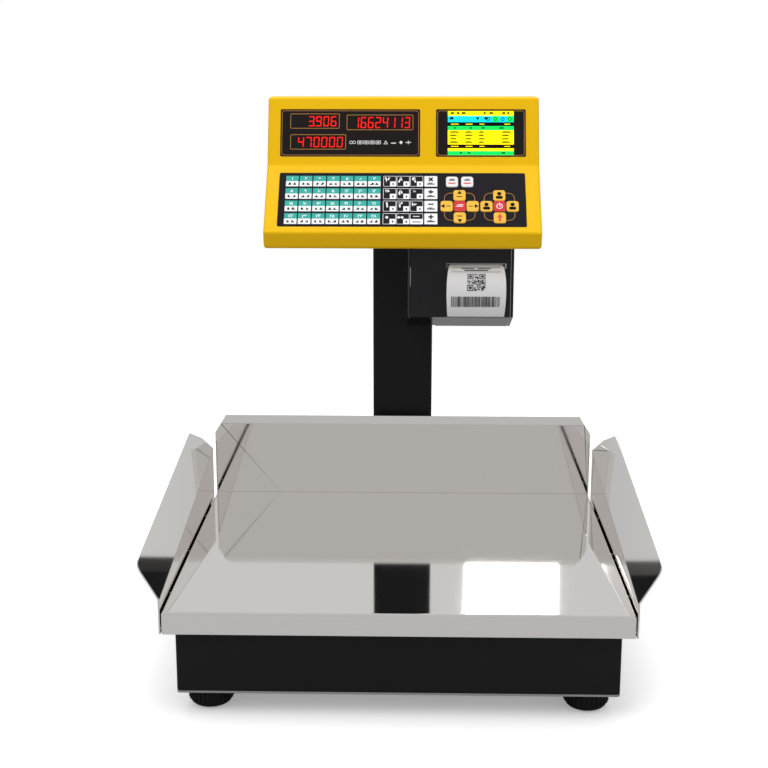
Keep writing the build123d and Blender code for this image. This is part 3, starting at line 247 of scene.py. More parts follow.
@dataclass(frozen=True)
class Finish:
    """One surface finish: its colour, gloss, grain and the marks of use on it."""

    name: str
    colour: tuple[float, float, float]
    roughness: float = 0.5
    metallic: float = 0.0
    coat: float = 0.0
    tint: float = 0.05
    grain_size: float = 1.0
    relief: float = 0.12
    smudge: float = 0.08
    smudge_size: float = 60.0
    lines: Lines = Lines.NONE
    line_depth: float = 0.0
    glow: float = 0.0
    bump_depth: float = 0.15
    specular: float = 0.5

    def material(self) -> bpy.types.Material:
        """Builds the finish as a material, or finds it if it has been built.

        Returns:
            The material.
        """
        if self.name in bpy.data.materials:
            return bpy.data.materials[self.name]
        material = bpy.data.materials.new(self.name)
        material.use_nodes = True
        tree = material.node_tree
        shader = next(n for n in tree.nodes if n.type == "BSDF_PRINCIPLED")
        grain = self.effect(tree, "fine_grain")
        grain.inputs["Colour"].default_value = linear(self.colour)
        grain.inputs["Scale"].default_value = 1 / (self.grain_size * MM)
        grain.inputs["Tint"].default_value = self.tint
        marks = self.effect(tree, "handling_marks")
        marks.inputs["Roughness"].default_value = self.roughness
        marks.inputs["Spread"].default_value = self.smudge
        marks.inputs["Scale"].default_value = 1 / (self.smudge_size * MM)
        bump = tree.nodes.new("ShaderNodeBump")
        bump.inputs["Strength"].default_value = self.relief
        bump.inputs["Distance"].default_value = self.bump_depth * MM
        tree.links.new(self.height(tree, grain), bump.inputs["Height"])
        tree.links.new(grain.outputs["Colour"], shader.inputs["Base Color"])
        tree.links.new(marks.outputs["Roughness"], shader.inputs["Roughness"])
        tree.links.new(bump.outputs["Normal"], shader.inputs["Normal"])
        shader.inputs["Metallic"].default_value = self.metallic
        shader.inputs["Specular IOR Level"].default_value = self.specular
        shader.inputs["Coat Weight"].default_value = self.coat
        shader.inputs["Coat Roughness"].default_value = 0.06
        shader.inputs["Emission Color"].default_value = linear(self.colour)
        shader.inputs["Emission Strength"].default_value = self.glow
        return material

    def effect(self, tree: bpy.types.NodeTree, name: str) -> bpy.types.Node:
        """Places a shared effect in the material.

        Args:
            tree: the material's node tree.
            name: the effect's name.

        Returns:
            The group node.
        """
        node = tree.nodes.new("ShaderNodeGroup")
        node.node_tree = EFFECTS.group(name)
        return node

    def height(self, tree: bpy.types.NodeTree, grain: bpy.types.Node) -> bpy.types.NodeSocket:
        """Adds drawn lines to the grain's relief where the finish has them.

        Args:
            tree: the material's node tree.
            grain: the fine grain's node.

        Returns:
            The socket that gives the whole relief.
        """
        if self.lines is Lines.NONE:
            return grain.outputs["Height"]
        lines = self.effect(tree, "drawn_lines")
        lines.inputs["Stretch"].default_value = self.lines.value
        lines.inputs["Depth"].default_value = self.line_depth
        total = tree.nodes.new("ShaderNodeMath")
        total.operation = "ADD"
        tree.links.new(grain.outputs["Height"], total.inputs[0])
        tree.links.new(lines.outputs["Height"], total.inputs[1])
        return total.outputs[0]


TRAY_STEEL = Finish("polished_steel", (238, 235, 232), 0.05, 1.0, 0.0, 0.012, 0.6, 0.012, 0.03, 90.0,
                    Lines.ALONG_X, 0.5)
BASE_PAINT = Finish("black_powder_paint", (22, 21, 23), 0.38, tint=0.12, grain_size=0.9, relief=0.3,
                    smudge=0.1, specular=0.16)
ZINC = Finish("zinc_plated_steel", (176, 178, 176), 0.34, 1.0, 0.0, 0.1, 2.2, 0.06, 0.12, 25.0)
FASTENER = Finish("screw_steel", (150, 152, 155), 0.3, 1.0, 0.0, 0.08, 0.5, 0.08, 0.1, 8.0)
ALUMINIUM = Finish("cast_aluminium_skin", (168, 170, 172), 0.48, 1.0, 0.0, 0.1, 1.4, 0.4, 0.1, 40.0)
RUBBER = Finish("moulded_rubber", (28, 28, 29), 0.82, 0.0, 0.0, 0.15, 0.7, 0.4, 0.06, 12.0)
KNOB = Finish("knob_nylon", (20, 20, 21), 0.46, tint=0.12, grain_size=0.5, relief=0.3, smudge_size=14.0,
              specular=0.2)
MOULDED = Finish("moulded_plastic", (31, 31, 33), 0.5, 0.0, 0.0, 0.12, 0.6, 0.3, 0.08, 20.0)
SUPPLY_CASE = Finish("perforated_case_steel", (170, 174, 172), 0.4, 1.0, 0.0, 0.06, 1.5, 0.06, 0.1)
YELLOW = Finish("yellow_moulding", (236, 186, 10), 0.36, tint=0.025, grain_size=0.5, relief=0.12,
                smudge=0.07, smudge_size=70.0, specular=0.12)
WINDOW = Finish("smoked_window", (24, 16, 16), 0.16, tint=0.04, grain_size=3.0, relief=0.01, smudge=0.05,
                smudge_size=50.0, specular=0.22)
BOARD = Finish("green_board", (24, 84, 52), 0.42, 0.0, 0.3, 0.1, 1.0, 0.1, 0.06)
DISPLAY = Finish("display_frame", (40, 41, 44), 0.38, 0.0, 0.0, 0.06, 0.8, 0.15, 0.06)
KEYPAD = Finish("keypad_film", (27, 24, 30), 0.42, tint=0.06, grain_size=0.35, relief=0.22, smudge_size=45.0,
                specular=0.15)
KEY_RED = Finish("red_key", (205, 26, 28), 0.36, 0.0, 0.2, 0.04, 0.4, 0.15, 0.06, 9.0)
KEY_WHITE = Finish("white_key", (228, 226, 228), 0.4, 0.0, 0.2, 0.03, 0.4, 0.15, 0.06, 9.0)
KEY_YELLOW = Finish("yellow_key", (243, 183, 33), 0.36, 0.0, 0.2, 0.03, 0.4, 0.15, 0.06, 9.0)
PRINTER_BLACK = Finish("printer_moulding", (24, 24, 27), 0.2, tint=0.08, grain_size=0.5, relief=0.1,
                       smudge=0.08, smudge_size=35.0, specular=0.3)
PRINT_HEAD = Finish("print_head_alloy", (150, 152, 150), 0.35, 1.0, 0.0, 0.06, 0.6, 0.1, 0.08, 10.0)
PLATEN = Finish("platen_rubber", (44, 44, 46), 0.7, 0.0, 0.0, 0.1, 0.5, 0.25, 0.06, 10.0)
MOTOR_CAN = Finish("motor_steel", (158, 160, 160), 0.32, 1.0, 0.0, 0.06, 0.8, 0.06, 0.1, 12.0)
NYLON = Finish("gear_nylon_white", (226, 224, 214), 0.5, 0.0, 0.0, 0.04, 0.5, 0.12, 0.06, 6.0)
PAPER = Finish("label_paper_white", (236, 235, 236), 0.62, 0.0, 0.0, 0.03, 0.25, 0.15, 0.05, 20.0)
INK = Finish("thermal_ink", (24, 24, 27), 0.55, 0.0, 0.0, 0.1, 0.2, 0.1, 0.05, 10.0)
TEAL_PRINT = Finish("teal_print", (20, 168, 158), 0.42, 0.0, 0.1, 0.05, 0.35, 0.2, 0.06, 20.0)
WHITE_PRINT = Finish("white_print", (236, 236, 238), 0.42, 0.0, 0.1, 0.03, 0.35, 0.2, 0.06, 20.0)
BLACK_PRINT = Finish("black_print", (18, 16, 20), 0.42, tint=0.08, grain_size=0.35, relief=0.2, smudge=0.06,
                     specular=0.15)
RED_PRINT = Finish("red_print", (214, 60, 62), 0.42, 0.0, 0.1, 0.04, 0.35, 0.2, 0.06, 20.0)
GOLD_PRINT = Finish("gold_print", (196, 138, 62), 0.36, 0.35, 0.1, 0.06, 0.35, 0.15, 0.08, 20.0)
LED_RED = Finish("lit_segments", (238, 24, 14), 0.4, tint=0.02, relief=0.02, glow=0.9, specular=0.1)
SCREEN_YELLOW = Finish("screen_yellow", (255, 232, 8), 0.3, tint=0.02, relief=0.02, glow=0.8, specular=0.1)
SCREEN_CYAN = Finish("screen_cyan", (16, 186, 214), 0.3, tint=0.02, relief=0.02, glow=0.8, specular=0.1)
SCREEN_GREEN = Finish("screen_green", (12, 206, 84), 0.3, tint=0.02, relief=0.02, glow=0.8, specular=0.1)
SCREEN_BLACK = Finish("screen_black", (12, 13, 10), 0.3, tint=0.02, relief=0.02, specular=0.1)

FINISH_OF_SLOT: dict[str, Finish] = {
    "tray_steel": TRAY_STEEL, "base_paint": BASE_PAINT, "zinc_plate": ZINC, "fastener_steel": FASTENER,
    "cast_aluminium": ALUMINIUM, "rubber_black": RUBBER, "knob_plastic": KNOB, "moulded_black": MOULDED,
    "supply_case": SUPPLY_CASE, "yellow_shell": YELLOW, "window_black": WINDOW, "board_green": BOARD,
    "display_module": DISPLAY, "keypad_black": KEYPAD, "key_red": KEY_RED, "key_white": KEY_WHITE,
    "key_yellow": KEY_YELLOW, "printer_black": PRINTER_BLACK, "print_head_metal": PRINT_HEAD,
    "roller_rubber": PLATEN, "motor_can": MOTOR_CAN, "gear_nylon": NYLON, "label_paper": PAPER,
}
SLOT_OF_NODE: dict[str, str] = {name: node.data.materials[0].name for name, node in frame["nodes"].items()}


# ---------------------------------------------------------------- making pieces


def add_piece(name: str, shape: bmesh.types.BMesh, finish: Finish, body: str,
              smooth_angle: float = 30.0) -> bpy.types.Object:
    """Turns a finished bmesh into a piece of the object.

    Args:
        name: the piece's name.
        shape: the piece's mesh, in metres and in place. It is freed.
        finish: what its surface is.
        body: the CAD body that it rides on.
        smooth_angle: faces that meet at a smaller angle are shaded smooth, in degrees.

    Returns:
        The new object.
    """
    bmesh.ops.recalc_face_normals(shape, faces=shape.faces[:])
    mesh = bpy.data.meshes.new(name)
    shape.to_mesh(mesh)
    shape.free()
    mesh.shade_smooth()
    mesh.set_sharp_from_angle(angle=radians(smooth_angle))
    mesh.materials.append(finish.material())
    piece = bpy.data.objects.new(name, mesh)
    bpy.context.scene.collection.objects.link(piece)
    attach(piece, body)
    LOG.info("%s: %d faces on %s", name, len(mesh.polygons), body)
    return piece


def refine(node: str, edge: float, angle: float = 32.0) -> bpy.types.Object:
    """Replaces a CAD node with a copy whose sharp edges are softly rounded.

    Args:
        node: the CAD node's name.
        edge: the width of the rounding, in millimetres.
        angle: edges that turn by more than this are rounded, in degrees.

    Returns:
        The piece that stands for the node.
    """
    shape = bmesh.new()
    shape.from_mesh(frame["nodes"][node].data)
    bmesh.ops.remove_doubles(shape, verts=shape.verts[:], dist=0.002 * MM)
    bmesh.ops.dissolve_limit(shape, angle_limit=radians(0.4), verts=shape.verts[:], edges=shape.edges[:],
                             use_dissolve_boundaries=False, delimit=set())
    slot = SLOT_OF_NODE[node]
    piece = add_piece(f"{node}_skin", shape, FINISH_OF_SLOT[slot], body_of(node), angle)
    rounding = piece.modifiers.new("edge_rounding", "BEVEL")
    rounding.width = edge * MM
    rounding.segments = 2
    rounding.limit_method = "ANGLE"
    rounding.angle_limit = radians(angle)
    rounding.use_clamp_overlap = False
    flat = piece.modifiers.new("flat_faces", "WEIGHTED_NORMAL")
    flat.mode = "FACE_AREA"
    flat.weight = 100
    flat.keep_sharp = True
    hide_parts(node)
    return piece


class Surface(Protocol):
    """Anything that a printed layer can lie on."""

    def place(self, across: float, down: float, out: float) -> Vector:
        """Gives the point, in metres, that lies across, down and out of the surface by millimetres."""
        ...


@dataclass(frozen=True)
class FlatFace:
    """A flat face, with a corner that its drawing is measured from."""

    corner: Vector
    right: Vector
    down: Vector

    def place(self, across: float, down: float, out: float) -> Vector:
        """Gives the point that lies across, down and out of the face by millimetres."""
        return self.corner + (self.right * across + self.down * down + self.down.cross(self.right) * out) * MM

    @classmethod
    def leaning(cls, node: str, lean: float, thick: float, drop: float) -> "FlatFace":
        """Finds the leaning console face that a thin plate lies flush in.

        Args:
            node: the CAD node of the plate.
            lean: how far the face leans back from upright, in degrees.
            thick: the plate's thickness, in millimetres.
            drop: how far the plate's top edge lies below the face's own, in millimetres.

        Returns:
            The face, measured from its top edge and from x = 0.
        """
        low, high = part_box(node)
        angle = radians(lean)
        down = Vector((0, -sin(angle), -cos(angle)))
        top = Vector((0, high.y - thick * MM * cos(angle), high.z))
        return cls(top - down * drop * MM, Vector((1, 0, 0)), down)


@dataclass
class PrintLayer:
    """One colour of a drawing: thin patches, outlines and figures on a surface, joined in one piece."""

    name: str
    surface: Surface
    finish: Finish
    slot: str
    body: str = "base"
    out: float = 0.02
    thick: float = 0.05
    shape: bmesh.types.BMesh = field(default_factory=bmesh.new)

    def patch(self, left: float, right: float, top: float, bottom: float, corner: float = 0.0,
              steps: int = 3, rows: int = 1) -> list[bmesh.types.BMVert]:
        """Adds a filled rectangle.

        Args:
            left: its left edge.
            right: its right edge.
            top: its top edge, as a distance down the surface.
            bottom: its bottom edge.
            corner: the radius of its corners.
            steps: how many edges round a corner.
            rows: how many faces it has from top to bottom, for a curved surface.

        Returns:
            Its vertices.
        """
        middle = Matrix.Translation(((left + right) / 2, -(top + bottom) / 2, 0))
        size = Matrix.Diagonal((right - left, bottom - top, 1, 1))
        made = bmesh.ops.create_grid(self.shape, x_segments=1, y_segments=rows, size=0.5,
                                     matrix=middle @ size)
        if corner <= 0:
            return made["verts"]
        rounded = bmesh.ops.bevel(self.shape, geom=made["verts"], affect="VERTICES", offset=corner,
                                  segments=steps, profile=0.5, material=-1)
        return rounded["verts"]

    def hollow(self, vertices: list[bmesh.types.BMVert], line: float) -> None:
        """Leaves only a line round the edge of a patch or a disc.

        Args:
            vertices: the patch's vertices.
            line: the line's width.
        """
        face = vertices[0].link_faces[0]
        bmesh.ops.inset_region(self.shape, faces=[face], thickness=line, use_boundary=True,
                               use_even_offset=True)
        bmesh.ops.delete(self.shape, geom=[face], context="FACES")

    def disc(self, across: float, down: float, radius: float, sides: int = 20,
             turn: float = 0.0) -> list[bmesh.types.BMVert]:
        """Adds a filled disc, or a regular figure such as an arrow head.

        Args:
            across: its centre, across the surface.
            down: its centre, down the surface.
            radius: its radius.
            sides: how many sides it has.
            turn: how far it is turned, in degrees.

        Returns:
            Its vertices.
        """
        where = Matrix.Translation((across, -down, 0)) @ Matrix.Rotation(radians(turn), 4, "Z")
        return bmesh.ops.create_circle(self.shape, cap_ends=True, segments=sides, radius=radius,
                                       matrix=where)["verts"]

    def figures(self, text: str, across: float, down: float, height: float, weight: float = 0.0) -> None:
        """Adds numerals or a plain sign, centred on a point.

        Args:
            text: the numerals.
            across: their centre, across the surface.
            down: their centre, down the surface.
            height: the height of a numeral.
            weight: how much bolder the strokes are drawn, as a share of the height.
        """
        curve = bpy.data.curves.new("figures", "FONT")
        curve.body = text
        curve.size = height / 0.7
        curve.resolution_u = 2
        curve.offset = weight * height
        curve.align_x = "CENTER"
        drawn = bpy.data.objects.new("figures", curve)
        bpy.context.scene.collection.objects.link(drawn)
        view = bpy.context.evaluated_depsgraph_get()
        flat = bpy.data.meshes.new_from_object(drawn.evaluated_get(view))
        heights = [v.co.y for v in flat.vertices]
        lift = -down - (min(heights) + max(heights)) / 2
        flat.transform(Matrix.Translation((across, lift, 0)))
        self.shape.from_mesh(flat)
        bpy.data.objects.remove(drawn)
        bpy.data.curves.remove(curve)
        bpy.data.meshes.remove(flat)

    def finished(self) -> bpy.types.Object:
        """Gives the layer its thickness, lays it on its surface and adds it to the object.

        Returns:
            The layer's piece.
        """
        shape = self.shape
        grown = bmesh.ops.extrude_face_region(shape, geom=shape.faces[:], use_keep_orig=True)
        top = [v for v in grown["geom"] if isinstance(v, bmesh.types.BMVert)]
        bmesh.ops.translate(shape, verts=top, vec=(0, 0, self.thick))
        for vertex in shape.verts:
            vertex.co = self.surface.place(vertex.co.x, -vertex.co.y, vertex.co.z + self.out)
        return add_piece(self.name, shape, self.finish, self.body)


@dataclass(frozen=True)
class SegmentFigures:
    """Seven-segment numerals."""

    width: float
    height: float
    stroke: float = 0.95
    gap: float = 0.25
    slant: float = 6.0
    lit: tuple[str, ...] = ("abcdef", "bc", "abged", "abgcd", "fgbc", "afgcd", "afgedc", "abc", "abcdefg",
                            "abcdfg")

    def draw(self, layer: PrintLayer, text: str, right: float, bottom: float, pitch: float) -> None:
        """Draws a number, its last numeral against the right.

        Args:
            layer: the layer it is drawn in.
            text: the numerals, with a full stop for a decimal point.
            right: the right edge of the last numeral.
            bottom: the bottom of the numerals, down the surface.
            pitch: the distance between numerals.
        """
        figures = text.replace(".", "")
        point = len(text) - 1 - text.index(".") if "." in text else None
        for place, figure in enumerate(reversed(figures)):
            left = right - place * pitch - self.width
            self.numeral(layer, int(figure), left, bottom)
            if point is not None and place == point:
                dot = left + self.width + (pitch - self.width) / 2
                layer.disc(dot, bottom - self.stroke / 2, self.stroke * 0.6, 10)

    def numeral(self, layer: PrintLayer, figure: int, left: float, bottom: float) -> None:
        """Draws one numeral from its lit segments.

        Args:
            layer: the layer it is drawn in.
            figure: the numeral.
            left: its left edge.
            bottom: its bottom edge, down the surface.
        """
        middle = bottom - self.height / 2
        lean = Matrix.Identity(4)
        lean[0][1] = tan(radians(self.slant))
        about = Matrix.Translation((0, -bottom, 0))
        for segment in self.lit[figure]:
            if segment in "agd":
                centre = {"a": bottom - self.height + self.stroke / 2, "g": middle,
                          "d": bottom - self.stroke / 2}[segment]
                edges = (left + self.gap, left + self.width - self.gap,
                         centre - self.stroke / 2, centre + self.stroke / 2)
            else:
                start = left if segment in "ef" else left + self.width - self.stroke
                top = bottom - self.height if segment in "bf" else middle
                edges = (start, start + self.stroke, top + self.gap, top + self.height / 2 - self.gap)
            drawn = layer.patch(*edges, corner=self.stroke * 0.45, steps=1)
            bmesh.ops.transform(layer.shape, matrix=about @ lean @ about.inverted(), verts=drawn)


# ---------------------------------------------------------------- the tray, base and post


@dataclass
class Tray:
    """The polished steel weighing tray: a pan and three guards, with their screws."""

    edge: float = 0.35
    sheets: tuple[str, ...] = ("tray_pan", "left_guard", "right_guard", "back_guard")

    def build(self) -> None:
        """Rounds the sheets' cut edges and bends."""
        for sheet in self.sheets:
            refine(sheet, self.edge)


@dataclass
class Base:
    """The black painted base, its zinc plate and its levelling feet."""

    edge: float = 0.6
    plate_edge: float = 0.3

    def build(self) -> None:
        """Rounds the folds of the painted cover and of the plate under it."""
        refine("base_housing", self.edge)
        refine("base_plate", self.plate_edge)


@dataclass
class Post:
    """The painted square post and the bracket that bolts it to the base."""

    edge: float = 0.5

    def build(self) -> None:
        """Rounds the cut edges of the post and its bracket."""
        refine("post_tube", self.edge)
        refine("post_bracket", self.edge)


# ---------------------------------------------------------------- the console


@dataclass
class DisplayFace:
    """The console's upper face: a window with three red read-outs, and a colour screen."""

    lean: float = 20.0
    window_thick: float = 2.0
    window_drop: float = 13.0
    border_inset: float = 1.3
    border_line: float = 0.45
    border_corner: float = 2.6
    window_bottom: float = 62.2
    read_outs: tuple[tuple[float, float, float, float], ...] = (
        (-114.6, -64.6, 17.5, 33.1), (-57.3, 10.1, 18.6, 34.6), (-114.4, -57.9, 39.2, 54.9))
    numbers: tuple[tuple[str, float, float], ...] = (("3.906", 7.5, 10.4), ("16624113", 7.4, 11.4),
                                                     ("470000", 7.9, 10.6))
    screen: tuple[float, float, float, float] = (45.1, 111.7, 14.5, 60.7)
    icon_left: float = -54.6
    icon_top: float = 45.4
    icon_height: float = 4.2

    def build(self) -> None:
        """Draws both windows."""
        self.face = FlatFace.leaning("led_window", self.lean, self.window_thick, self.window_drop)
        self.borders()
        self.read_out_figures()
        self.icons()
        self.colour_screen()

    def borders(self) -> None:
        """Draws the fine gold lines round the windows and the read-outs."""
        gold = PrintLayer("window_borders", self.face, GOLD_PRINT, "window_black")
        inset = self.border_inset
        for node in ("led_window", "lcd_window"):
            low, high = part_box(node)
            vertices = gold.patch(low.x / MM + inset, high.x / MM - inset, self.window_drop + inset,
                                  self.window_bottom - inset, self.border_corner, 5)
            gold.hollow(vertices, self.border_line)
        for edges in self.read_outs:
            gold.hollow(gold.patch(*edges, 1.4, 4), self.border_line * 1.2)
        gold.finished()

    def read_out_figures(self) -> None:
        """Draws the lit red numbers, each at the right of its read-out."""
        red = PrintLayer("read_out_figures", self.face, LED_RED, "display_module")
        for (text, pitch, height), (left, right, top, bottom) in zip(self.numbers, self.read_outs):
            figures = SegmentFigures(pitch * 0.74, height, slant=3.0)
            figures.draw(red, text, right - 3.6, (top + bottom + height) / 2 + 0.2, pitch)
        red.finished()

    def icons(self) -> None:
        """Draws the row of small white signs under the long read-out."""
        white = PrintLayer("function_signs", self.face, WHITE_PRINT, "window_black")
        top, bottom, left = self.icon_top, self.icon_top + self.icon_height, self.icon_left
        middle = (top + bottom) / 2
        for place in range(2):
            white.hollow(white.disc(left + 1.8 + 3.2 * place, middle, 1.7, 16), 0.45)
        for place in range(4):
            start = left + 8.2 + 6.2 * place
            white.hollow(white.patch(start, start + 5.2, top + 0.3, bottom - 0.3, 0.5), 0.5)
            white.patch(start + 1.4, start + 3.8, middle - 0.6, middle + 0.6, 0.3)
        white.hollow(white.disc(left + 37.0, middle + 0.5, 2.6, 3, 0.0), 0.5)
        white.patch(left + 42.2, left + 47.4, middle + 0.2, middle + 1.2, 0.4)
        white.disc(left + 52.4, middle, 1.9, 4)
        white.patch(left + 57.0, left + 62.6, middle - 0.4, middle + 0.4, 0.3)
        white.patch(left + 59.4, left + 60.2, middle - 1.9, middle + 1.9, 0.3)
        white.finished()

    def colour_screen(self) -> None:
        """Draws the lit screen: status and heading bars, a table of items and a bottom bar."""
        left, right, top, bottom = self.screen
        layers = {finish: PrintLayer(finish.name, self.face, finish, "display_module")
                  for finish in (SCREEN_YELLOW, SCREEN_CYAN, SCREEN_BLACK, SCREEN_GREEN)}
        bars = ((SCREEN_YELLOW, 5.2), (SCREEN_CYAN, 6.7), (SCREEN_BLACK, 3.9), (SCREEN_GREEN, 4.4),
                (SCREEN_YELLOW, 14.8), (SCREEN_BLACK, 3.9), (SCREEN_YELLOW, 2.9), (SCREEN_GREEN, 4.4))
        start = top
        tops = []
        for finish, height in bars:
            layers[finish].patch(left, right, start, start + height)
            tops.append(start)
            start += height
        for layer in layers.values():
            layer.finished()
        marks = PrintLayer("screen_marks", self.face, SCREEN_BLACK, "display_module", out=0.08)
        light = PrintLayer("screen_light_marks", self.face, SCREEN_YELLOW, "display_module", out=0.08)
        cells = PrintLayer("screen_cells", self.face, SCREEN_GREEN, "display_module", out=0.08)
        for place in range(2):
            cell = left + 45.0 + 14.6 * place
            cells.patch(cell, cell + 6.6, tops[1] + 0.3, tops[2] - 0.3)
        cells.finished()
        self.screen_marks(marks, light, tops)

    def screen_marks(self, marks: PrintLayer, light: PrintLayer, tops: list[float]) -> None:
        """Draws the screen's small dashes, which stand for its entries.

        Args:
            marks: the layer of dark marks.
            light: the layer of light marks.
            tops: where each bar starts, down the face.
        """
        left, right = self.screen[:2]
        draw = random.Random(7)
        rough = ((tops[0], 2.0, (3, 9, 14, 36, 42, 55, 60)), (tops[1], 2.4, (2, 29, 37)),
                 (tops[3], 1.4, (6, 22, 34, 52)), (tops[7], 1.4, (12, 20, 54)))
        for start, height, places in rough:
            for place in places:
                wide = draw.uniform(2.2, 5.0)
                marks.patch(left + place, left + place + wide, start + 1.3, start + 1.3 + height, 0.4)
        for place in range(4):
            centre = left + 40.8 + 7.3 * place
            marks.hollow(marks.disc(centre, tops[1] + 3.3, 1.9, 12, 15.0), 0.6)
        for row in range(4):
            line = tops[4] + 1.6 + 3.5 * row
            for column, wide in ((2.0, 9.5), (17.5, 8.0), (31.0, 7.0), (54.5, 9.5)):
                end = left + column + wide * draw.uniform(0.75, 1.0)
                marks.patch(left + column, end, line, line + 1.0, 0.3)
                marks.patch(left + column + 1.0, end - 1.4, line - 0.8, line - 0.3, 0.1)
        for start in (tops[2], tops[5]):
            for column, wide in ((3.0, 8.0), (18.0, 7.0), (32.0, 5.0), (57.0, 6.0)):
                light.patch(left + column, left + column + wide, start + 1.6, start + 2.3, 0.2)
        marks.finished()
        light.finished()


@dataclass
class KeyboardFace:
    """The console's lower face: a printed film of flat keys, and twelve raised caps."""

    lean: float = 40.0
    film_thick: float = 1.0
    film_drop: float = 9.8
    row_tops: tuple[float, ...] = (13.5, 28.5, 43.4, 58.4)
    key_height: float = 12.7
    item_left: float = -117.3
    item_pitch: float = 13.75
    item_width: float = 12.5
    item_columns: int = 7
    number_left: float = -19.5
    number_pitch: float = 13.45
    number_width: float = 12.9
    sign_left: float = 21.6
    sign_width: float = 12.9
    small_square: float = 6.2
    cap_proud: float = 1.0
    cluster_centres: tuple[float, ...] = (56.6, 96.1)
    cluster_down: float = 50.1
    ring_half: tuple[float, float] = (15.3, 16.4)
    ring_corner: float = 6.5
    ring_line: float = 0.5
    numerals: tuple[tuple[str, ...], ...] = (("۷", "۸", "۹"), ("۴", "۵", "۶"), ("۱", "۲", "۳"),
                                             ("۰", "۰۰", ""))
    numeral_height: float = 5.6
    zero_height: float = 8.0
    signs: tuple[str, ...] = ("×", "÷", "−", "+")

    def build(self) -> None:
        """Prints the film and the caps."""
        self.face = FlatFace.leaning("keypad_overlay", self.lean, self.film_thick, self.film_drop)
        self.item_keys()
        self.number_keys()
        self.sign_keys()
        self.rings()
        self.cap_signs()

    def item_keys(self) -> None:
        """Prints the block of item keys: a teal half with its number over a white half with marks."""
        teal = PrintLayer("item_keys_teal", self.face, TEAL_PRINT, "keypad_black")
        white = PrintLayer("item_keys_white", self.face, WHITE_PRINT, "keypad_black")
        numbers = PrintLayer("item_key_numbers", self.face, WHITE_PRINT, "keypad_black", out=0.07)
        marks = PrintLayer("item_key_marks", self.face, BLACK_PRINT, "keypad_black", out=0.07)
        draw = random.Random(11)
        half = self.key_height / 2
        eastern = str.maketrans("0123456789", "۰۱۲۳۴۵۶۷۸۹")
        for row, top in enumerate(self.row_tops):
            for column in range(self.item_columns):
                left = self.item_left + column * self.item_pitch
                right = left + self.item_width
                teal.patch(left, right, top, top + half)
                white.patch(left, right, top + half, top + self.key_height)
                number = str(row * self.item_columns + column + 1).translate(eastern)
                numbers.figures(number, (left + right) / 2, top + half / 2, 3.2, 0.05)
                for centre in (left + self.item_width * 0.3, left + self.item_width * 0.7):
                    wide = draw.uniform(1.1, 1.9)
                    line = top + half * 1.58
                    marks.patch(centre - wide, centre + wide, line - 0.2, line + 0.9, 0.5)
                    marks.disc(centre + draw.uniform(-0.8, 0.8), line - 0.8, draw.uniform(0.8, 1.2), 8)
        for layer in (teal, white, numbers, marks):
            layer.finished()

    def number_keys(self) -> None:
        """Prints the number keys: a white outline, a numeral and a small white square at a corner."""
        lines = PrintLayer("number_key_outlines", self.face, WHITE_PRINT, "keypad_black")
        white = PrintLayer("number_key_numerals", self.face, WHITE_PRINT, "keypad_black", out=0.03)
        marks = PrintLayer("number_key_marks", self.face, BLACK_PRINT, "keypad_black", out=0.1)
        small = self.small_square
        for row, top in enumerate(self.row_tops):
            bottom = top + self.key_height
            for column, numeral in enumerate(self.numerals[row]):
                left = self.number_left + column * self.number_pitch
                right = left + self.number_width
                lines.hollow(lines.patch(left, right, top, bottom, 0.6), 0.42)
                if numeral:
                    tall = self.zero_height if numeral[0] == "۰" else self.numeral_height
                    white.figures(numeral, left + 3.9, top + 4.7, tall, 0.08)
                    white.patch(right - small, right - 0.3, bottom - small, bottom - 0.3, 0.4)
                    marks.disc(right - small / 2, bottom - small / 2, 0.95, 8)
                    marks.patch(right - small / 2 - 0.5, right - small / 2 + 0.5, bottom - small / 2,
                                bottom - small / 2 + 1.4, 0.3)
                else:
                    white.patch(left + 0.3, right - 0.3, bottom - small, bottom - 0.3, 0.4)
                    marks.patch(left + 2.2, right - 2.4, bottom - small / 2, bottom - small / 2 + 0.9, 0.3)
                    white.patch(left + 3.0, right - 3.4, top + 3.1, top + 3.9, 0.3)
        for layer in (lines, white, marks):
            layer.finished()

    def sign_keys(self) -> None:
        """Prints the column of white keys with the signs of arithmetic."""
        white = PrintLayer("sign_keys", self.face, WHITE_PRINT, "keypad_black")
        black = PrintLayer("sign_key_signs", self.face, BLACK_PRINT, "keypad_black", out=0.07)
        right = self.sign_left + self.sign_width
        centre = self.sign_left + self.sign_width / 2
        for sign, top in zip(self.signs, self.row_tops):
            white.patch(self.sign_left, right, top, top + self.key_height, 0.5)
            black.figures(sign, centre, top + 4.0, 6.6, 0.06)
            black.patch(centre - 4.0, centre + 4.0, top + 9.1, top + 10.3, 0.5)
            black.patch(centre - 2.6, centre + 1.6, top + 8.0, top + 8.8, 0.3)
        white.finished()
        black.finished()

    def rings(self) -> None:
        """Prints the fine gold rings that join the keys of each cluster."""
        gold = PrintLayer("cluster_rings", self.face, GOLD_PRINT, "keypad_black")
        across, down = self.ring_half
        for centre in self.cluster_centres:
            vertices = gold.patch(centre - across, centre + across, self.cluster_down - down,
                                  self.cluster_down + down, self.ring_corner, 8)
            gold.hollow(vertices, self.ring_line)
        gold.finished()

    def cap_layer(self, key: str, finish: Finish) -> tuple[PrintLayer, float, float]:
        """Starts a print on one raised cap, which moves with it.

        Args:
            key: the cap's CAD node.
            finish: the print's colour.

        Returns:
            The layer, and the cap's middle across and down the face.
        """
        low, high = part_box(key)
        across = (low.x + high.x) / 2 / MM
        middle = (low + high) / 2
        down = (middle - self.face.corner).dot(self.face.down) / MM
        layer = PrintLayer(f"{key}_print", self.face, finish, SLOT_OF_NODE[key], body_of(key),
                           self.cap_proud + 0.02)
        return layer, across, down

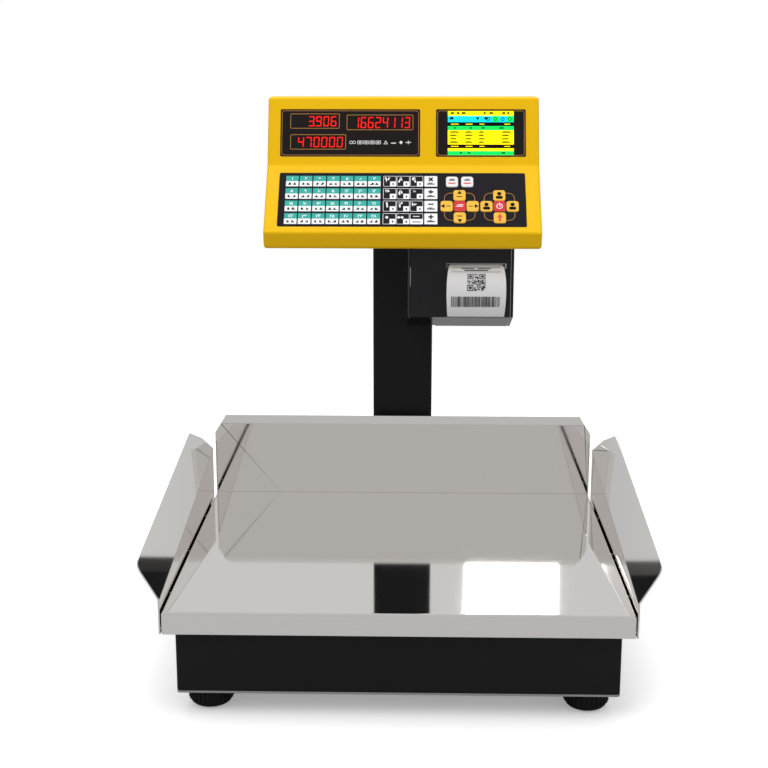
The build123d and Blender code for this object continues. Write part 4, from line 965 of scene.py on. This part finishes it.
    def cap_signs(self) -> None:
        """Prints each cap's own sign: arrows, figures, a dial and dashes."""
        arrows = {"up": (0.0, 0.0, -3.0), "down": (180.0, 0.0, 3.2), "left": (90.0, -3.4, 0.0),
                  "right": (-90.0, 3.4, 0.0)}
        for way, (turn, across_by, down_by) in arrows.items():
            layer, across, down = self.cap_layer(f"key_menu_{way}", BLACK_PRINT)
            layer.disc(across + across_by, down + down_by, 2.7, 3, turn)
            if way in ("up", "down"):
                line = down - down_by * 0.55
                layer.patch(across - 3.0, across + 2.6, line - 0.5, line + 0.5, 0.4)
            else:
                end = across - across_by * 0.55
                layer.patch(end - 2.2, end + 2.2, down - 0.4, down + 0.5, 0.4)
            layer.finished()
        for way in ("up", "left", "right"):
            layer, across, down = self.cap_layer(f"key_clerk_{way}", BLACK_PRINT)
            layer.disc(across, down - 2.0, 2.2, 14)
            layer.patch(across - 3.5, across + 3.5, down + 0.6, down + 4.2, 1.5, 4)
            layer.finished()
        layer, across, down = self.cap_layer("key_clerk_down", RED_PRINT)
        layer.disc(across, down - 1.6, 3.3, 3)
        layer.patch(across - 1.1, across + 1.1, down - 0.1, down + 4.4)
        layer.finished()
        layer, across, down = self.cap_layer("key_clerk_centre", WHITE_PRINT)
        layer.hollow(layer.disc(across, down, 3.2, 24), 0.7)
        layer.patch(across - 0.35, across + 0.35, down - 4.0, down)
        layer.patch(across - 0.35, across + 1.5, down - 0.3, down + 0.4)
        layer.finished()
        layer, across, down = self.cap_layer("key_menu_centre", WHITE_PRINT)
        layer.patch(across - 3.8, across + 3.4, down - 0.3, down + 0.7, 0.4)
        layer.patch(across - 2.0, across + 3.8, down - 1.9, down - 1.1, 0.4)
        layer.finished()
        for key in ("key_shift", "key_clear"):
            layer, across, down = self.cap_layer(key, BLACK_PRINT)
            layer.patch(across - 3.0, across + 3.0, down - 2.4, down - 1.2, 0.5)
            layer.patch(across - 1.8, across + 2.2, down - 3.3, down - 2.7, 0.2)
            layer.finished()
            layer, across, down = self.cap_layer(key, RED_PRINT)
            layer.name = f"{key}_red_print"
            layer.patch(across - 3.6, across + 3.6, down + 1.2, down + 2.6, 0.5)
            layer.finished()


@dataclass
class Console:
    """The yellow two-part console on the post, with its display, its keyboard and its rear display."""

    edge: float = 0.5
    rear_numbers: tuple[str, str] = ("3.906", "4700")
    rear_pitch: float = 11.6

    def build(self) -> None:
        """Builds the shells and everything that shows on them."""
        for shell in ("head_front_shell", "head_rear_shell"):
            refine(shell, self.edge)
        DisplayFace().build()
        KeyboardFace().build()
        self.rear_display()

    def rear_display(self) -> None:
        """Draws the buyer's read-out on the back of the console."""
        low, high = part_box("customer_display")
        face = FlatFace(Vector((high.x, high.y, high.z)), Vector((-1, 0, 0)), Vector((0, 0, -1)))
        wide, tall = (high.x - low.x) / MM, (high.z - low.z) / MM
        black = PrintLayer("rear_window", face, WINDOW, "window_black", thick=0.4)
        black.patch(2.0, wide - 2.0, 2.0, tall - 2.0, 2.5, 5)
        black.finished()
        gold = PrintLayer("rear_window_border", face, GOLD_PRINT, "window_black", out=0.43)
        gold.hollow(gold.patch(4.0, wide - 4.0, 4.0, tall - 4.0, 2.0, 5), 0.5)
        gold.finished()
        red = PrintLayer("rear_read_out_figures", face, LED_RED, "display_module", out=0.43)
        figures = SegmentFigures(8.6, 15.0, 1.6)
        for number, right in zip(self.rear_numbers, (wide / 2 - 12.0, wide - 12.0)):
            figures.draw(red, number, right, (tall + figures.height) / 2, self.rear_pitch)
        red.finished()


# ---------------------------------------------------------------- the printer and its label


@dataclass
class PrintedLabel:
    """The label that hangs out of the printer, with its rules, square code and bar code."""

    run_start: tuple[float, float] = (152.0, 351.7)
    slot_exit: tuple[float, float] = (104.0, 344.6)
    over_slot: tuple[float, float] = (80.0, 345.6)
    below_crest: tuple[float, float] = (80.4, 312.0)
    end: tuple[float, float] = (91.2, 293.6)
    half_width: float = 28.5
    narrow_at_slot: float = 2.3
    swell: float = 1.7
    thick: float = 0.22
    steps: int = 40
    inner_steps: int = 4
    code_cells: int = 21
    code_side: float = 17.5
    code_top: float = 19.5
    bars_top: float = 42.5
    bars_height: float = 10.0

    def centre(self, share: float) -> Vector:
        """Gives a point on the visible run's middle line.

        Args:
            share: from 0 at the slot to 1 at the torn end.

        Returns:
            The point, as depth and height in millimetres.
        """
        rest = 1 - share
        weights = (rest**3, 3 * rest**2 * share, 3 * rest * share**2, share**3)
        points = (self.slot_exit, self.over_slot, self.below_crest, self.end)
        return sum((Vector(p) * w for p, w in zip(points, weights)), Vector((0, 0)))

    def length(self) -> float:
        """Measures the visible run, in millimetres."""
        points = [self.centre(step / self.steps) for step in range(self.steps + 1)]
        return sum((b - a).length for a, b in zip(points, points[1:]))

    def place(self, across: float, down: float, out: float) -> Vector:
        """Gives the point that lies across, down and out of the label by millimetres."""
        share = min(max(down / self.run, 0.0), 1.0)
        here = self.centre(share)
        ahead = self.centre(min(share + 0.01, 1.0)) - self.centre(max(share - 0.01, 0.0))
        ahead.normalize()
        width = 1 - self.narrow_at_slot / self.half_width * (1 - share) ** 2
        width += self.swell / self.half_width * sin(pi * share)
        outwards = Vector((ahead.y, -ahead.x))
        point = here + outwards * out
        return Vector((self.middle + across * width, point.x, point.y)) * MM

    def build(self) -> None:
        """Builds the sheet and prints on it."""
        low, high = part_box("label")
        self.middle = (low.x + high.x) / 2 / MM
        self.run = self.length()
        self.sheet()
        self.print_rules()
        self.print_square_code()
        self.print_bar_code()

    def sheet(self) -> None:
        """Builds the paper: a flat run from the roll to the slot, then the curled run outside."""
        shape = bmesh.new()
        bmesh.ops.create_grid(shape, x_segments=2, y_segments=self.steps, size=0.5)
        for vertex in shape.verts:
            across = vertex.co.x * 2 * self.half_width
            vertex.co = self.place(across, (0.5 - vertex.co.y) * self.run, 0.0)
        top = self.centre(0.0).y * MM
        border = [e for e in shape.edges
                  if e.is_boundary and all(abs(v.co.z - top) < 0.01 * MM for v in e.verts)]
        grown = bmesh.ops.extrude_edge_only(shape, edges=border)
        moved = [v for v in grown["geom"] if isinstance(v, bmesh.types.BMVert)]
        shift = (Vector((0, *self.run_start)) - Vector((0, *self.slot_exit))) * MM
        bmesh.ops.translate(shape, verts=moved, vec=shift)
        bmesh.ops.recalc_face_normals(shape, faces=shape.faces[:])
        bmesh.ops.solidify(shape, geom=shape.faces[:], thickness=self.thick * MM)
        piece = add_piece("label_sheet", shape, PAPER, "base", 40.0)
        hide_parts("label")

    def layer(self, name: str) -> PrintLayer:
        """Starts an ink layer on the label."""
        return PrintLayer(name, self, INK, "label_paper", out=self.thick + 0.05, thick=0.04)

    def print_rules(self) -> None:
        """Prints the heading's rules and short lines."""
        ink = self.layer("label_rules")
        half = self.half_width - 4
        ink.patch(-half, half, 9.0, 9.6, rows=1)
        ink.patch(-half, half, 16.6, 17.0, rows=1)
        for left, right, top in ((-15.0, -2.0, 11.2), (1.0, 15.0, 11.2), (-12.0, 12.0, 13.9)):
            ink.patch(left, right, top, top + 1.4, 0.5, rows=1)
        ink.finished()

    def print_square_code(self) -> None:
        """Prints a made-up square code: three corner marks and a scatter of cells that says nothing."""
        ink = self.layer("label_square_code")
        cell = self.code_side / self.code_cells
        left, top = -self.code_side / 2, self.code_top
        draw = random.Random(23)
        corner = 7
        last = self.code_cells - corner
        for column, row in ((0, 0), (last, 0), (0, last)):
            x, y = left + column * cell, top + row * cell
            for band in ((0, corner, 0, 1), (0, corner, corner - 1, corner), (0, 1, 1, corner - 1),
                         (corner - 1, corner, 1, corner - 1), (2, 5, 2, 5)):
                ink.patch(x + band[0] * cell, x + band[1] * cell, y + band[2] * cell, y + band[3] * cell)
        for row in range(self.code_cells):
            for column in range(self.code_cells):
                near = (column <= corner and row <= corner) or (column >= last - 1 and row <= corner)
                if near or (column <= corner and row >= last - 1) or draw.random() < 0.52:
                    continue
                x, y = left + column * cell, top + row * cell
                ink.patch(x, x + cell, y, y + cell)
        ink.finished()

    def print_bar_code(self) -> None:
        """Prints a made-up bar code near the torn end."""
        ink = self.layer("label_bar_code")
        draw = random.Random(5)
        x, end = -self.half_width + 4.5, self.half_width - 4.5
        while x < end - 1.5:
            wide = draw.choice((0.35, 0.35, 0.7, 1.05))
            ink.patch(x, x + wide, self.bars_top, self.bars_top + self.bars_height, rows=4)
            x += wide + draw.choice((0.4, 0.4, 0.8))
        ink.finished()


@dataclass
class Printer:
    """The label printer that hangs under the console."""

    edge: float = 0.6

    def build(self) -> None:
        """Rounds the housing and its door, then adds the label."""
        refine("printer_housing", self.edge)
        refine("printer_door", self.edge)
        PrintedLabel().build()


# ---------------------------------------------------------------- the studio


@dataclass
class Studio:
    """A pale floor, soft light and the camera."""

    camera_right: float = 13.0
    camera_before_tray: float = 1056.6
    camera_above_pan: float = 444.5
    tilt: float = 76.781
    turn: float = 1.328
    lens: float = 63.87
    floor_radius: float = 9.0
    back_light: float = 0.66
    back_low_light: float = 0.42
    patch_left: float = 92.0
    patch_right: float = 231.0
    patch_bottom: float = 285.0
    patch_top: float = 410.0
    patch_depth: float = 900.0
    patch_aim_before: float = 1740.0
    patch_aim_below: float = 480.0
    patch_power: float = 0.02
    patch_spread: float = 0.6
    floor_grey: float = 0.42
    front_light: float = 0.56
    front_until: float = -0.4
    back_from: float = 0.5
    back_low_until: float = 0.16
    back_full_from: float = 0.36
    floor_glow: float = 0.3
    clear_from: float = 0.75
    clear_by: float = 1.5
    lights: tuple[tuple[str, Point, Point, float, float], ...] = (
        ("key_light", (-1.3, -1.7, 2.3), (0.0, 0.0, 0.2), 1.6, 18.0),
        ("fill_light", (1.9, -1.5, 1.5), (0.0, 0.0, 0.25), 1.8, 10.0),
        ("top_light", (0.0, 0.3, 2.6), (0.0, 0.0, 0.1), 2.2, 46.0))

    def build(self) -> None:
        """Sets up everything that isn't part of the object."""
        self.add_camera()
        self.add_floor()
        self.add_world()
        for light in self.lights:
            self.add_light(*light)
        self.add_patch_light()
        bpy.context.scene.view_settings.view_transform = "Standard"

    def add_camera(self) -> None:
        """Puts the camera in front of the tray and above it."""
        low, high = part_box("tray_pan")
        camera = bpy.data.objects.new("camera", bpy.data.cameras.new("camera"))
        camera.data.lens = self.lens
        camera.data.clip_start = 0.01
        camera.location = (self.camera_right * MM, low.y - self.camera_before_tray * MM,
                           high.z + self.camera_above_pan * MM)
        camera.rotation_euler = Euler((radians(self.tilt), 0.0, radians(self.turn)))
        bpy.context.scene.collection.objects.link(camera)
        bpy.context.scene.camera = camera

    def add_floor(self) -> None:
        """Lays a large pale floor under the feet."""
        shape = bmesh.new()
        bmesh.ops.create_circle(shape, cap_ends=True, segments=96, radius=self.floor_radius)
        mesh = bpy.data.meshes.new("floor")
        shape.to_mesh(mesh)
        shape.free()
        material = bpy.data.materials.new("pale_floor")
        material.use_nodes = True
        shader = next(n for n in material.node_tree.nodes if n.type == "BSDF_PRINCIPLED")
        shader.inputs["Base Color"].default_value = (0.9, 0.9, 0.9, 1.0)
        shader.inputs["Roughness"].default_value = 0.9
        shader.inputs["Emission Color"].default_value = (1.0, 1.0, 1.0, 1.0)
        shader.inputs["Emission Strength"].default_value = self.floor_glow
        self.fade_out(material.node_tree, shader)
        mesh.materials.append(material)
        floor = bpy.data.objects.new("floor", mesh)
        bpy.context.scene.collection.objects.link(floor)

    def fade_out(self, tree: bpy.types.NodeTree, shader: bpy.types.Node) -> None:
        """Lets the floor turn to plain white away from the object, so that it meets the backdrop unseen.

        Args:
            tree: the floor's node tree.
            shader: the floor's own shader.
        """
        place = tree.nodes.new("ShaderNodeTexCoord")
        distance = tree.nodes.new("ShaderNodeVectorMath")
        distance.operation = "LENGTH"
        share = tree.nodes.new("ShaderNodeMapRange")
        share.interpolation_type = "SMOOTHSTEP"
        share.inputs["From Min"].default_value = self.clear_from
        share.inputs["From Max"].default_value = self.clear_by
        white = tree.nodes.new("ShaderNodeEmission")
        white.inputs["Strength"].default_value = 1.0
        mix = tree.nodes.new("ShaderNodeMixShader")
        output = next(n for n in tree.nodes if n.type == "OUTPUT_MATERIAL")
        tree.links.new(place.outputs["Object"], distance.inputs[0])
        tree.links.new(distance.outputs["Value"], share.inputs["Value"])
        tree.links.new(share.outputs[0], mix.inputs[0])
        tree.links.new(shader.outputs[0], mix.inputs[1])
        tree.links.new(white.outputs[0], mix.inputs[2])
        grey = tree.nodes.new("ShaderNodeBsdfDiffuse")
        grey.inputs["Color"].default_value = (self.floor_grey, self.floor_grey, self.floor_grey, 1.0)
        rays = tree.nodes.new("ShaderNodeLightPath")
        choice = tree.nodes.new("ShaderNodeMixShader")
        tree.links.new(rays.outputs["Is Camera Ray"], choice.inputs[0])
        tree.links.new(grey.outputs[0], choice.inputs[1])
        tree.links.new(mix.outputs[0], choice.inputs[2])
        tree.links.new(choice.outputs[0], output.inputs["Surface"])

    def add_patch_light(self) -> None:
        """Hangs a narrow lamp behind the scale, which shows only as a bright patch in the steel."""
        low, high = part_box("tray_pan")
        middle = Vector(((self.patch_left + self.patch_right) / 2 * MM, low.y + self.patch_depth * MM,
                         high.z + (self.patch_bottom + self.patch_top) / 2 * MM))
        aim = Vector((0.0, -self.patch_aim_before * MM, -self.patch_aim_below * MM)) - middle
        light = bpy.data.lights.new("patch_light", "AREA")
        light.shape = "RECTANGLE"
        light.size = (self.patch_right - self.patch_left) * MM
        light.size_y = (self.patch_top - self.patch_bottom) * MM
        light.spread = self.patch_spread
        light.energy = self.patch_power
        lamp = bpy.data.objects.new("patch_light", light)
        lamp.location = middle
        lamp.rotation_euler = aim.to_track_quat("-Z", "Y").to_euler()
        lamp.visible_camera = False
        lamp.visible_diffuse = False
        bpy.context.scene.collection.objects.link(lamp)

    def add_world(self) -> None:
        """Lights the room: white where the camera looks past the object, brighter behind than in front."""
        world = bpy.data.worlds.new("studio")
        bpy.context.scene.world = world
        world.use_nodes = True
        tree = world.node_tree
        room = next(n for n in tree.nodes if n.type == "BACKGROUND")
        output = next(n for n in tree.nodes if n.type == "OUTPUT_WORLD")
        place = tree.nodes.new("ShaderNodeTexCoord")
        axes = tree.nodes.new("ShaderNodeSeparateXYZ")
        depth = tree.nodes.new("ShaderNodeMapRange")
        depth.inputs["From Min"].default_value = self.front_until
        depth.inputs["From Max"].default_value = self.back_from
        depth.inputs["To Min"].default_value = self.front_light
        behind = tree.nodes.new("ShaderNodeMapRange")
        behind.interpolation_type = "SMOOTHSTEP"
        behind.inputs["From Min"].default_value = self.back_low_until
        behind.inputs["From Max"].default_value = self.back_full_from
        behind.inputs["To Min"].default_value = self.back_low_light
        behind.inputs["To Max"].default_value = self.back_light
        backdrop = tree.nodes.new("ShaderNodeBackground")
        backdrop.inputs["Color"].default_value = (1.0, 1.0, 1.0, 1.0)
        rays = tree.nodes.new("ShaderNodeLightPath")
        mix = tree.nodes.new("ShaderNodeMixShader")
        tree.links.new(place.outputs["Generated"], axes.inputs[0])
        tree.links.new(axes.outputs["Z"], behind.inputs["Value"])
        tree.links.new(behind.outputs[0], depth.inputs["To Max"])
        tree.links.new(axes.outputs["Y"], depth.inputs["Value"])
        tree.links.new(depth.outputs[0], room.inputs["Color"])
        tree.links.new(rays.outputs["Is Camera Ray"], mix.inputs[0])
        tree.links.new(room.outputs[0], mix.inputs[1])
        tree.links.new(backdrop.outputs[0], mix.inputs[2])
        tree.links.new(mix.outputs[0], output.inputs["Surface"])

    def add_light(self, name: str, place: Point, target: Point, side: float, power: float) -> None:
        """Adds a soft square light.

        Args:
            name: the light's name.
            place: where it hangs, in metres.
            target: the point that it faces.
            side: the length of its side, in metres.
            power: its power, in watts.
        """
        light = bpy.data.lights.new(name, "AREA")
        light.shape = "SQUARE"
        light.size = side
        light.energy = power
        lamp = bpy.data.objects.new(name, light)
        lamp.location = place
        lamp.visible_glossy = False
        lamp.rotation_euler = (Vector(target) - Vector(place)).to_track_quat("-Z", "Y").to_euler()
        bpy.context.scene.collection.objects.link(lamp)


def dress_frame() -> None:
    """Gives every CAD node the finish of its material slot."""
    for name, node in frame["nodes"].items():
        finish = FINISH_OF_SLOT[SLOT_OF_NODE[name]]
        node.data.materials[0] = finish.material()
        LOG.info("%s: %s", name, finish.name)


def clear_steel() -> None:
    """Keeps the console and the printer out of the reflections in the polished tray."""
    for piece in bpy.data.objects:
        if piece.type == "MESH" and min(corner[2] for corner in piece.bound_box) > REFLECTED_BELOW:
            piece.visible_glossy = False


def main() -> None:
    """Builds the studio and the scale's sub-assemblies."""
    logging.basicConfig(level=logging.INFO, format="%(name)s %(message)s")
    dress_frame()
    for part in (Studio(), Tray(), Base(), Post(), Console(), Printer()):
        part.build()
    clear_steel()


if __name__ == "__main__":
    main()
